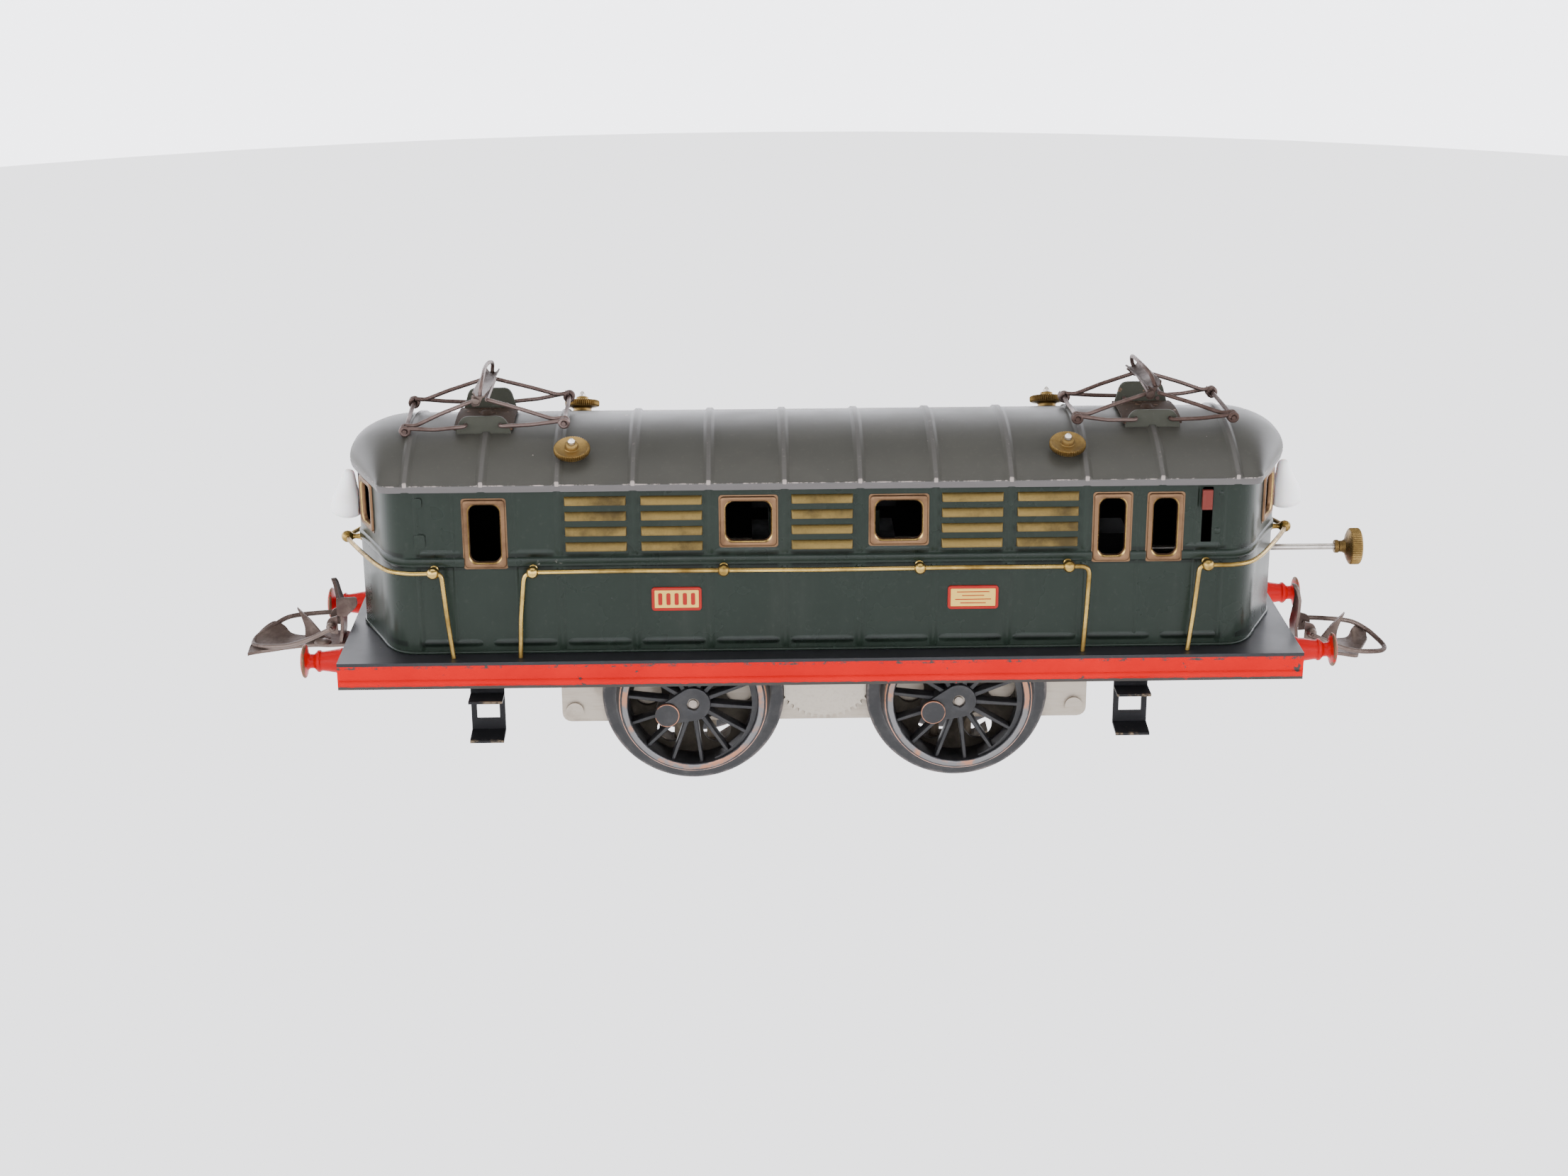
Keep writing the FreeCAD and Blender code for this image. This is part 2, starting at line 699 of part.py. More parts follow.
def axle_gear(sx):
    rise = math.degrees(math.atan2(-gear_height(), sx * WHEELBASE / 2))
    phase = mesh_phase(rise, IDLER_TEETH, 90.0, AXLE_TEETH)
    cx = DRIVE_X + sx * WHEELBASE / 2
    wheel = gear(AXLE_TEETH, cx, AXLE_Z, phase)
    holes = [cyl(cx, GEAR_Y0 - 1, AXLE_Z, AXLE_R, 4, Y)]
    for i in range(6):
        a = math.radians(60 * i)
        holes.append(cyl(cx + 11 * math.cos(a), GEAR_Y0 - 1, AXLE_Z + 11 * math.sin(a), 3.4, 4, Y))
    return wheel.cut(group(holes))


def idler_gear():
    wheel = gear(IDLER_TEETH, DRIVE_X, IDLER_Z, 90.0)
    hub = cyl(DRIVE_X, GEAR_Y0 - 0.3, IDLER_Z, 2.6, 1.6, Y)
    bore = cyl(DRIVE_X, GEAR_Y0 - 2, IDLER_Z, 1.2 + RUN, 5, Y)
    return join([wheel, hub]).cut(bore)


def idler_stud():
    shaft = cyl(DRIVE_X, GEAR_Y0 - 0.4, IDLER_Z, 1.2, 3.9, Y)
    return shaft


def axle(sx):
    cx = DRIVE_X + sx * WHEELBASE / 2
    body = cyl(cx, -21.0, AXLE_Z, AXLE_R, 42.0, Y)
    nose = cyl(cx, -21.7, AXLE_Z, 1.0, 43.4, Y)
    return join([body, nose])


def crank_web(cx, cz):
    """Tear-shaped web from the hub to the crank pin."""
    px = cx - 6.1
    pz = cz - 2.35
    hub = cyl(cx, -WHEEL_FACE_Y - 0.6, cz, 4.2, 4.2, Y)
    tip = cyl(px, -WHEEL_FACE_Y - 0.6, pz, 2.6, 4.2, Y)
    reach = math.hypot(px - cx, pz - cz)
    ux = (px - cx) / reach
    uz = (pz - cz) / reach
    nx = -uz
    nz = ux
    cheek = side([(cx + 4.2 * nx, cz + 4.2 * nz), (px + 2.6 * nx, pz + 2.6 * nz),
                  (px - 2.6 * nx, pz - 2.6 * nz), (cx - 4.2 * nx, cz - 4.2 * nz)],
                 -WHEEL_FACE_Y - 0.6, -WHEEL_FACE_Y + 3.6)
    pin = cyl(px, -WHEEL_FACE_Y - 1.6, pz, 2.9, 1.8, Y)
    return join([hub, tip, cheek, pin])


def rim(cx, cz):
    profile = [(14.3, 0.2), (14.6, 0.0), (16.1, 0.0), (16.3, 0.25), (17.3, 0.25), (17.6, 0.5),
               (18.6, 5.7), (19.2, 6.0), (21.3, 6.3), (21.7, 6.6), (21.6, 7.0), (21.2, 7.2),
               (14.3, 7.2)]
    return turned(profile, V(cx, -WHEEL_FACE_Y, cz), Y)


def wheel_near(sx):
    cx = DRIVE_X + sx * WHEELBASE / 2
    cz = AXLE_Z
    pieces = [rim(cx, cz), crank_web(cx, cz)]
    pieces.append(cyl(cx, -WHEEL_FACE_Y, cz, 4.0, WHEEL_FACE_Y - WHEEL_BACK_Y, Y))
    for i in range(14):
        spoke = box(cx + 3.0, cx + 14.8, -WHEEL_FACE_Y + 1.0, -WHEEL_FACE_Y + 4.0,
                    cz - 0.5, cz + 0.5)
        spoke.rotate(V(cx, 0, cz), Y, i * 360 / 14 + 6)
        pieces.append(spoke)
    wheel = join(pieces)
    bore = cyl(cx, -21.0, cz, AXLE_R, 10, Y)
    recess = cyl(cx, -24.0, cz, 1.6, 3.0, Y)
    return wheel.cut(group([bore, recess]))


def motor_plate(sy):
    y0 = -PLATE_Y - PLATE_T if sy < 0 else PLATE_Y
    x0 = DRIVE_X - PLATE_HALF_LENGTH
    x1 = DRIVE_X + PLATE_HALF_LENGTH
    r = 2.2
    outline = [(x1, 33.0), (x1 - 24, 33.0), (x1 - 30, PLATE_HIGH), (x0 + 30, PLATE_HIGH),
               (x0 + 24, 33.0), (x0, 33.0)]
    outline += arc_points(x0 + r, PLATE_LOW + r, r, 180, 270, 4)
    outline += arc_points(x1 - r, PLATE_LOW + r, r, 270, 360, 4)
    plate = side(outline, y0, y0 + PLATE_T)
    holes = [cyl(DRIVE_X + sx * WHEELBASE / 2, y0 - 1, AXLE_Z, AXLE_R + RUN, 4, Y)
             for sx in (-1, 1)]
    holes.append(cyl(DRIVE_X, y0 - 1, ARMATURE_Z, 1.0 + RUN, 4, Y))
    if sy < 0:
        holes.append(cyl(DRIVE_X, y0 - 1, IDLER_Z, 1.2, 4, Y))
    for sx in (-1, 1):
        for z in SPACER_Z:
            holes.append(cyl(DRIVE_X + sx * SPACER_X, y0 - 1, z, 1.0, 4, Y))
    return plate.cut(group(holes))


SPACER_X = 60.1
SPACER_Z = (16.6, 28.5)


def plate_spacers():
    """Four riveted pillars and two hangers that carry the motor plates under the deck."""
    pieces = []
    for sx in (-1, 1):
        cx = DRIVE_X + sx * SPACER_X
        for z in SPACER_Z:
            pillar = cyl(cx, -PLATE_Y, z, 2.0, 2 * PLATE_Y, Y)
            shank = cyl(cx, -PLATE_Y - PLATE_T, z, 1.0, 2 * (PLATE_Y + PLATE_T), Y)
            heads = [cyl(cx, -PLATE_Y - PLATE_T - 0.8, z, 2.1, 0.8, Y),
                     cyl(cx, PLATE_Y + PLATE_T, z, 2.1, 0.8, Y)]
            pieces.append(join([pillar, shank] + heads))
        x_in = DRIVE_X + sx * (PLATE_HALF_LENGTH - 1.0)
        x_out = DRIVE_X + sx * (PLATE_HALF_LENGTH + 9.0)
        x0 = min(x_in, x_out)
        x1 = max(x_in, x_out)
        flange = box(x0, x1, -10.5, 10.5, 34.7, DECK_TOP - SHEET)
        xw = x_in - sx * 0.8
        web = box(min(x_in, xw), max(x_in, xw), -PLATE_Y, PLATE_Y, 31.0, 35.7)
        pieces.append(join([flange, web]))
    return group(pieces)


# ---- motor --------------------------------------------------------------
def field_magnet():
    block = box(DRIVE_X - 17, DRIVE_X + 17, -8, 8, 30.5, 58)
    bore = cyl(DRIVE_X, -12, ARMATURE_Z, 9.8, 24, Y)
    window = box(DRIVE_X - 4, DRIVE_X + 4, -12, 12, 25, ARMATURE_Z)
    yoke = box(DRIVE_X - 4.5, DRIVE_X + 4.5, -8, 8, 58, 66)
    cap = box(DRIVE_X - 17, DRIVE_X + 17, -8, 8, 66, 70)
    return join([block.cut(group([bore, window])), yoke, cap])


def field_coil():
    outer = box(DRIVE_X - 13, DRIVE_X + 13, -10.5, 10.5, 58.2, 65.8)
    core = box(DRIVE_X - 4.7, DRIVE_X + 4.7, -8.2, 8.2, 57, 67)
    return outer.cut(core)


def armature():
    shaft = cyl(DRIVE_X, -14.0, ARMATURE_Z, 1.0, 27.0, Y)
    drum = cyl(DRIVE_X, -7, ARMATURE_Z, 9.2, 12, Y)
    slots = []
    for i in range(3):
        a = math.radians(30 + 120 * i)
        slots.append(cyl(DRIVE_X + 7.4 * math.cos(a), -8, ARMATURE_Z + 7.4 * math.sin(a), 3.0, 14, Y))
    commutator = cyl(DRIVE_X, 6.5, ARMATURE_Z, 3.2, 3.5, Y)
    collar = cyl(DRIVE_X, 5, ARMATURE_Z, 2.2, 2, Y)
    pinion = gear(PINION_TEETH, DRIVE_X, ARMATURE_Z, 270.0 + 180.0 / PINION_TEETH)
    return join([drum.cut(group(slots)), shaft, commutator, collar, pinion])


def brush_holders():
    pieces = []
    for sx in (-1, 1):
        a = DRIVE_X + sx * 3.3
        b = DRIVE_X + sx * 8.5
        x0 = min(a, b)
        carbon = box(x0, x0 + 5.2, 7.0, 9.4, ARMATURE_Z - 1.0, ARMATURE_Z + 1.0)
        foot = box(x0 + 1.6, x0 + 3.6, 9.2, PLATE_Y, ARMATURE_Z - 1.0, ARMATURE_Z + 1.0)
        pieces.append(join([carbon, foot]))
    return group(pieces)


def pickup_plate():
    """Insulating strip under the motor plates, with two guides for the shoes."""
    strip = box(DRIVE_X - 50, DRIVE_X + 50, -PLATE_Y, PLATE_Y, PLATE_LOW, PLATE_LOW + 1.2)
    holes = []
    for sx in (-1, 1):
        for dx in (-4, 4):
            holes.append(cyl(DRIVE_X + sx * 31.5 + dx, 0, PLATE_LOW - 1, 1.2 + RUN, 4, Z))
    return strip.cut(group(holes))


def pickup_shoe(sx):
    cx = DRIVE_X + sx * 31.5
    sole = side([(cx - 9, 5.4), (cx - 6.5, 3.0), (cx + 6.5, 3.0), (cx + 9, 5.4), (cx + 9, 6.4),
                 (cx + 6, 4.4), (cx - 6, 4.4), (cx - 9, 6.4)], -3, 3)
    posts = []
    for dx in (-4, 4):
        posts.append(cyl(cx + dx, 0, 4.0, 1.2, 12.2, Z))
        posts.append(cyl(cx + dx, 0, PLATE_LOW + 1.4, 1.9, 0.8, Z))
    return join([sole] + posts)


# ---- controls -----------------------------------------------------------
def reverser_rod():
    return cyl(72.0, 0, ROD_Z, 0.75, 54.0, X)


def reverser_knob():
    profile = [(0.75, 0), (1.5, 0), (1.6, 0.9), (1.4, 1.2), (1.5, 2.0), (2.2, 2.6), (3.4, 3.0),
               (4.3, 3.5), (4.45, 4.0), (4.45, 5.9), (4.2, 6.2), (0, 6.2), (0, 1.0), (0.75, 1.0)]
    return turned(profile, V(125.0, 0, ROD_Z), X)


def reverser_box():
    """Switch block fixed in the body; the rod pushes into it."""
    block = box(58, 74, -6, 6, 46, 58)
    bore = cyl(59, 0, ROD_Z, 0.75 + RUN, 20, X)
    legs = [box(68.0, 69.5, -5, 5, DECK_TOP, 46.2), box(72.5, 74, -5, 5, DECK_TOP, 46.2)]
    return join([block.cut(bore)] + legs)


def slot_lever():
    py, pz = LEVER_PIVOT
    hub = cyl(LEVER_X - 1.35, py, pz, 2.0, 2.7, X)
    arm = end([(py + 0.3, pz - 1.2), (py + 0.3, pz + 1.2), (-25.9, 73.8), (-25.9, 71.2)],
              LEVER_X - 0.7, LEVER_X + 0.7)
    paddle = box(LEVER_X - 1.4, LEVER_X + 0.9, -26.9, -25.9, 70.2, 74.85)
    bore = cyl(LEVER_X - 3, py, pz, 0.8 + RUN, 6, X)
    return join([hub, arm, paddle]).cut(bore)


# ---- couplers -----------------------------------------------------------
def coupler_hook():
    """Right-hand coupler: flat hook plate under the end beam, with fin and upright tongue."""
    y = -COUPLER_Y
    z0 = 28.3
    z1 = 29.3
    px = COUPLER_PIVOT_X
    arm = plan([(px, y - 4.0), (114.0, y - 4.0), (116.5, y - 6.5), (119.5, y - 6.5),
                (122.0, y - 2.5), (126.5, y - 2.2), (133.0, y + 0.2), (133.0, y + 3.6),
                (126.0, y + 3.2), (121.0, y + 4.5), (px, y + 4.0)], z0, z1)
    root = cyl(px, y, z0, 4.0, z1 - z0, Z)
    nose = side([(131.6, z0), (133.8, z0), (137.6, z0 - 2.2), (137.0, z0 - 2.9), (133.4, z0 - 0.9),
                 (131.6, z0 - 0.9)], y - 4.4, y + 4.0)
    cross = box(131.4, 133.4, y - 4.4, y + 4.0, z0 - 0.9, z1)
    fin = side([(119.5, z1 - 0.1), (126.2, z1 - 0.1), (125.4, 32.0), (127.3, 37.4), (123.2, 34.2)],
               y - 0.5, y + 0.5)
    tongue = end([(y - 4.2, z0), (y + 4.2, z0), (y + 3.9, 38.0), (y + 1.5, 44.6), (y - 1.5, 44.6),
                  (y - 3.9, 38.0)], 116.4, 117.4)
    lugs = []
    for sy in (-1, 1):
        lug = box(117.2, 119.6, y + sy * 3.3 - 0.5, y + sy * 3.3 + 0.5, 32.4, 35.2)
        lugs.append(lug.cut(cyl(118.4, y + sy * 3.3 - 2, 33.8, 0.55 + RUN, 4, Y)))
    hook = join([arm, root, cross, nose, fin, tongue] + lugs)
    return hook.cut(cyl(px, y, z0 - 2, 1.3 + RUN, 6, Z))


def coupler_pin():
    """Shouldered pin that hangs from the deck and carries the coupler."""
    y = -COUPLER_Y
    px = COUPLER_PIVOT_X
    pieces = [cyl(px, y, 27.9, 1.3, 1.7, Z), cyl(px, y, 29.5, 2.4, DECK_TOP - SHEET - 29.5, Z),
              cyl(px, y, DECK_TOP - SHEET - 0.1, 1.0, 0.9, Z), cyl(px, y, 27.1, 2.4, 0.9, Z)]
    return join(pieces)


def coupler_loop():
    """Wire bail of the right-hand coupler, hinged in the two lugs and resting on the nose."""
    y = -COUPLER_Y
    start_x = 118.4
    start_z = 33.8
    flat = [(start_x, -6.3), (start_x + 5, -6.4), (start_x + 11, -6.4), (start_x + 15.5, -5.4),
            (start_x + 18.8, -3.2), (start_x + 20.2, 0.0)]
    drop = {0: 0.0, 1: -0.4, 2: -1.3, 3: -2.1, 4: -2.9, 5: -3.2}
    near = [V(px, y + py, start_z + drop[i]) for i, (px, py) in enumerate(flat)]
    far = [V(p.x, 2 * y - p.y, p.z) for p in reversed(near[:-1])]
    bow = rod_path(near + far, 0.6)
    arms = []
    for sy in (-1, 1):
        y0 = y + sy * 6.3 if sy < 0 else y + 2.6
        arms.append(cyl(start_x, y0, start_z, 0.55, 3.7, Y))
    ends = [Part.makeSphere(0.6, V(start_x, y + sy * 6.3, start_z)) for sy in (-1, 1)]
    return join([bow] + arms + ends)


# ---- write everything ---------------------------------------------------
def write_all():
    os.makedirs("parts", exist_ok=True)
    save("deck_plate", deck_plate())
    save("skirt_frame", skirt_frame())
    save("body_shell", body_shell())
    save("roof_shell", roof_shell())
    save("side_window_frames", side_window_frames())
    save("end_window_frames", end_window_frames())
    save("louvre_slats", louvre_slats())
    save("number_plates", number_plates())
    save("main_handrails", main_handrails())
    save("corner_handrails", corner_handrails())
    save("buffers_right", group(buffers()))
    save("buffers_left", group([half_turn(b) for b in buffers()]))
    save("footsteps", footsteps())
    save("headlamp_right", headlamp())
    save("headlamp_left", half_turn(headlamp()))
    save("roof_studs", roof_studs())
    for sx, end_name in ((-1, "left"), (1, "right")):
        for sy, side_name in ((-1, "near"), (1, "far")):
            save("thumb_nut_%s_%s" % (end_name, side_name), thumb_nut(sx, sy))
    for sx, end_name, tilt in ((-1, "left", 0.0), (1, "right", -32.0)):
        x = sx * PANTO_X
        save("panto_base_" + end_name, panto_base(x))
        save("panto_lower_a_" + end_name, place(panto_lower(), x, True))
        save("panto_lower_b_" + end_name, place(panto_lower(), x, False))
        save("panto_upper_a_" + end_name, place(panto_upper(11.6), x, True))
        save("panto_upper_b_" + end_name, place(panto_upper(10.0), x, False))
        save("panto_shoe_" + end_name, place(panto_shoe(tilt), x, False))
    save("motor_plate_near", motor_plate(-1))
    save("motor_plate_far", motor_plate(1))
    save("plate_spacers", group(plate_spacers().Solids + [idler_stud()]))
    save("field_magnet", field_magnet())
    save("field_coil", field_coil())
    save("armature", armature())
    save("brush_holders", brush_holders())
    save("idler_gear", idler_gear())
    for sx, name in ((-1, "1"), (1, "2")):
        save("axle_gear_" + name, axle_gear(sx))
        save("axle_" + name, axle(sx))
        save("wheel_near_" + name, wheel_near(sx))
        save("wheel_far_" + name, mirrored(wheel_near(sx), Y))
        save("pickup_shoe_" + name, pickup_shoe(sx))
    save("pickup_plate", pickup_plate())
    save("reverser_rod", reverser_rod())
    save("reverser_knob", reverser_knob())
    save("reverser_box", reverser_box())
    save("slot_lever", slot_lever())
    save("coupler_hook_right", coupler_hook())
    save("coupler_hook_left", half_turn(coupler_hook()))
    save("coupler_loop_right", coupler_loop())
    save("coupler_loop_left", half_turn(coupler_loop()))
    save("coupler_pins", group([coupler_pin(), half_turn(coupler_pin())]))


write_all()
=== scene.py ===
import math

import bmesh
import bpy
from mathutils import Matrix, Vector


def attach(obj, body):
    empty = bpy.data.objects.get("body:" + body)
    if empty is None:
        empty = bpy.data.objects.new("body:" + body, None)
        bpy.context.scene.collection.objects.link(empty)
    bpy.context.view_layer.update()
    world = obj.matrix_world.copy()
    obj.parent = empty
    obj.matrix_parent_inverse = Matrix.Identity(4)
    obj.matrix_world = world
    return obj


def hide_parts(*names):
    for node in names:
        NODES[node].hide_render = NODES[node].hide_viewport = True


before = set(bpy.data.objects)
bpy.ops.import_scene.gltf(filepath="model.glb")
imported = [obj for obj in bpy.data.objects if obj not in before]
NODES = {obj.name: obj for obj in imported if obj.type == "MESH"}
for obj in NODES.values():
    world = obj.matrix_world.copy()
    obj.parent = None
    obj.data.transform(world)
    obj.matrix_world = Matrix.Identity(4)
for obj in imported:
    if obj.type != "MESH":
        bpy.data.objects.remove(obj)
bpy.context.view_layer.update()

MM = 0.001
LOCO = "loco_frame"

# ---- shared dimensions (mm) ---------------------------------------------
RIB_PITCH = 17.25
RIB_SHIFT = 0.3
RIBS = [RIB_PITCH * (i - 5.5) + RIB_SHIFT for i in range(12)]
HALF_W = 25.3
STRAIGHT = 94.0
DECK_TOP = 36.5
WALL_TOP = 78.4
WALL_THICKNESS = 0.55
CUT_DEPTH = (-28.0, -22.0)
BELT_Z = 58.9
LOWER_RIB = (37.3, 57.4)
UPPER_RIB = (60.4, 77.0)
# side windows as (centre, width, bottom, top); those that start below TALL are in doors
TALL = 60
WINDOWS = [(-77.05, 10.3, 57.3, 74.3), (-16.6, 13.6, 61.9, 74.5), (17.9, 13.9, 61.9, 74.4),
           (67.0, 9.2, 57.4, 74.3), (79.2, 8.7, 57.4, 74.2)]
DOORS = [(-77.2, 14.2), (67.2, 12.0), (79.7, 13.2)]
BORDER = 1.25
# the end window facet in plan, and its window as (width, bottom, top)
FACET = ((103.0, -15.6), (109.2, -2.0))
FACET_WINDOW = (10.2, 62.2, 74.6)
LEVER_SLOT = (88.8, 68.55, 2.4, 13.4)
LOUVRES = (-51.6, -34.2, 0.3, 34.8, 52.1)
PLATES = ((-33.4, 11.6, 46.7, 52.4), (35.3, 11.8, 46.3, 52.0))
ROOF_R = 50.4
CROWN = 86.1
EAVE = 78.0
ROOF_FLAT = 97.0
RAIL_Y = -28.4
RAIL_Z = 57.4
WIRE = 0.55
ROD_Z = 52.1
NUT_X = 56.8
NUT_Y = 19.3
AXLES = (("1", -30.2), ("2", 32.8))
AXLE_Z = 21.7
PIN = (-6.1, -2.35)
ENDS = (("right", 1), ("left", -1))

# ---- shader helpers -----------------------------------------------------


class Shader:
    """Small wrapper that builds a Principled material from nodes."""

    def __init__(self, name, **sockets):
        self.mat = bpy.data.materials.new(name)
        self.mat.use_nodes = True
        self.tree = self.mat.node_tree
        self.bsdf = self.tree.nodes["Principled BSDF"]
        self.place = self.node("TexCoord", {}, "Object")
        for key, value in sockets.items():
            self.bsdf.inputs[key.replace("_", " ")].default_value = value

    def node(self, kind, feeds, out=0, **props):
        """Adds a node, feeds its inputs and returns one output, or all of them for None."""
        n = self.tree.nodes.new("ShaderNode" + kind)
        for key, value in props.items():
            setattr(n, key, value)
        for key, value in feeds.items():
            self.feed(n.inputs[key], value)
        return n.outputs if out is None else n.outputs[out]

    def feed(self, socket, value):
        if isinstance(value, bpy.types.NodeSocket):
            self.tree.links.new(value, socket)
        else:
            socket.default_value = (*value, 1.0) if socket.type == "RGBA" else value

    def math(self, op, a, b=0.0):
        return self.node("Math", {0: a, 1: b}, operation=op)

    def plus(self, a, b):
        return self.math("ADD", a, b)

    def minus(self, a, b):
        return self.math("SUBTRACT", a, b)

    def times(self, a, b):
        return self.math("MULTIPLY", a, b)

    def most(self, a, b):
        return self.math("MAXIMUM", a, b)

    def noise(self, scale, detail=4.0, rough=0.55, stretch=(1, 1, 1), offset=(0, 0, 0)):
        """Noise with a feature size of 1/scale metres."""
        at = self.node("Mapping", {"Vector": self.place, "Scale": stretch, "Location": offset})
        return self.node("TexNoise", {"Vector": at, "Scale": scale, "Detail": detail,
                                      "Roughness": rough}, "Fac")

    def ramp(self, value, low, high):
        return self.node("MapRange", {"Value": value, "From Min": low, "From Max": high},
                         "Result", interpolation_type="SMOOTHSTEP")

    def mix(self, factor, a, b):
        return self.node("Mix", {0: factor, 6: a, 7: b}, 2, data_type="RGBA")

    def blend(self, factor, a, b):
        return self.node("Mix", {0: factor, 2: a, 3: b}, data_type="FLOAT")

    def bump(self, height, strength, distance):
        normal = self.node("Bump", {"Strength": strength, "Distance": distance, "Height": height})
        self.feed(self.bsdf.inputs["Normal"], normal)

    def finish(self, color, rough, metal=0.0):
        self.feed(self.bsdf.inputs["Base Color"], color)
        self.feed(self.bsdf.inputs["Roughness"], rough)
        self.feed(self.bsdf.inputs["Metallic"], metal)
        return self.mat


def near(s, value, centre, reach):
    """1 where value is within reach of centre, falling softly to 0."""
    gap = s.math("ABSOLUTE", s.minus(value, centre))
    return s.minus(1.0, s.ramp(gap, reach * 0.35, reach))


def speckle(s, scale, amount):
    """Sparse sharp-edged chips; amount is roughly the share covered."""
    return s.ramp(s.noise(scale, 6.0, 0.62), 0.72 - amount, 0.735 - amount)


def painted(name, color, worn, edges=(), chips=0.0, rough=0.28, haze=0.12, coat=0.0,
            dust=(0.30, 0.31, 0.29), grain=0.02, chip_scale=260.0, gloss=0.13, ribs=0.0, bars=(),
            eave=None):
    """Enamel on tinplate: hazy gloss, small chips, worn metal where edges says.

    Each edge is (axis, centre, reach, level) and each bar (centre, reach), in mm. Bars are painted
    shade that darkens the paint between the ribs; eave is a lighter colour painted as reflection
    below the eave line and as highlight on the rib crests.
    """
    s = Shader(name, Coat_Weight=coat, Coat_Roughness=0.12, Specular_IOR_Level=gloss)
    x, y, z = s.node("SeparateXYZ", {0: s.place}, None)
    cloud = s.noise(28.0, 5.0, 0.6)
    fine = s.noise(900.0, 3.0, 0.6, offset=(3, 1, 7))
    streak = s.noise(70.0, 5.0, 0.7, stretch=(1.0, 1.0, 0.12), offset=(5, 5, 5))
    pick = s.noise(420.0, 6.0, 0.7, offset=(9, 2, 4))
    body = s.mix(s.ramp(cloud, 0.35, 0.75), tuple(c * 0.82 for c in color), color)
    for haze_map, low, high in ((fine, 0.55, 0.8), (streak, 0.5, 0.85)):
        body = s.mix(s.times(s.ramp(haze_map, low, high), haze), body, dust)
    half_pitch = RIB_PITCH / 2
    wave = s.math("PINGPONG", s.minus(x, RIB_SHIFT * MM), half_pitch * MM)
    crest = near(s, wave, half_pitch * MM, 0.75 * MM)
    # bars: painted shade, darkening the paint between the ribs along the pressed beads
    for centre, reach in bars:
        between = s.ramp(wave, (half_pitch - 1.0) * MM, (half_pitch - 2.0) * MM)
        band = s.times(near(s, z, centre * MM, reach * MM), between)
        shade = s.times(band, s.ramp(streak, 0.25, 0.6))
        body = s.mix(s.times(shade, 0.85), body, tuple(c * 0.25 for c in color))
    # painted reflection: the roof lip below the eave line takes the lighter eave colour
    if eave:
        body = s.mix(s.ramp(z, (EAVE - 0.1) * MM, (EAVE - 0.4) * MM), body, eave)
    wear = speckle(s, chip_scale, chips)
    for axis, centre, reach, level in edges:
        value = y if "y" in axis else z if axis == "z" else x
        if axis[0] == "a":
            value = s.math("ABSOLUTE", value)
        band = near(s, value, centre * MM, reach * MM)
        wear = s.most(wear, s.ramp(s.plus(s.times(band, level), pick), 1.0, 1.12))
    if ribs:
        # painted highlight: the rib crests are lightened towards the eave colour
        body = s.mix(s.times(crest, 0.35), body, eave)
        rub = s.ramp(s.plus(s.times(crest, ribs), pick), 0.80, 1.02)
        foot = near(s, z, (EAVE + 0.1) * MM, 0.9 * MM)
        spot = s.ramp(s.plus(s.times(crest, foot), pick), 0.95, 1.35)
        wear = s.most(wear, s.most(s.times(rub, 0.5), spot))
    base_rough = s.blend(s.ramp(cloud, 0.3, 0.8), rough, rough + 0.14)
    s.bump(s.minus(s.times(fine, grain), s.times(wear, 0.35)), 0.5, 0.00012)
    return s.finish(s.mix(wear, body, worn), s.blend(wear, base_rough, 0.5), s.times(wear, 0.55))


def metal(name, light, dark, rough=0.25, spots=0.35, brush=(1, 1, 1), bump=0.25, tone=0.9,
          gloss=0.5):
    """Bare metal with tarnish patches and fine handling marks."""
    s = Shader(name, Specular_IOR_Level=gloss)
    cloud = s.noise(60.0, 6.0, 0.65)
    fine = s.noise(1400.0, 4.0, 0.7, stretch=brush, offset=(2, 8, 1))
    mask = s.ramp(cloud, 0.62 - spots * 0.5, 0.80 - spots * 0.3)
    col = s.mix(mask, light, dark)
    col = s.mix(s.times(s.ramp(fine, 0.45, 0.8), 0.35), col, dark)
    rgh = s.plus(s.blend(mask, rough, rough + 0.25), s.times(fine, 0.12))
    s.bump(fine, bump, 0.00006)
    return s.finish(col, rgh, tone)


# bars: painted shade between the ribs at the foot bead, below the belt and above it
GREEN = painted("body_green_enamel", (0.0110, 0.0175, 0.0125), (0.17, 0.165, 0.14),
                edges=[("z", BELT_Z, 1.3, 0.36), ("z", 37.0, 1.0, 0.30)], chips=-0.035,
                chip_scale=900.0, rough=0.24, haze=0.10, coat=0.05, gloss=0.15,
                dust=(0.060, 0.064, 0.054), bars=((38.9, 1.0), (57.5, 0.7), (60.5, 0.8)))
# eave: lighter lilac grey, painted reflection on the roof lip and painted highlight on the rib
# crests
GREY = painted("roof_grey_paint", (0.040, 0.0385, 0.0320), (0.27, 0.235, 0.215),
               edges=[("z", 77.85, 0.30, 0.52)], chips=0.005, rough=0.36, haze=0.16,
               dust=(0.085, 0.078, 0.066), gloss=0.22, ribs=0.24, eave=(0.082, 0.076, 0.074))
RED = painted("skirt_red_enamel", (0.50, 0.0012, 0.0030), (0.050, 0.045, 0.041),
              edges=[("z", 30.2, 0.9, 0.76), ("z", 35.4, 0.9, 0.50)], chips=0.055, rough=0.34,
              haze=0.02, dust=(0.45, 0.03, 0.03), chip_scale=150.0, gloss=0.04)
BUFFER_RED = painted("buffer_red_enamel", (0.44, 0.0015, 0.0035), (0.13, 0.075, 0.045),
                     edges=[("ax", 121.1, 0.7, 0.66), ("ax", 117.8, 0.3, 0.5)], chips=0.004,
                     haze=0.03, dust=(0.36, 0.03, 0.03), gloss=0.10)
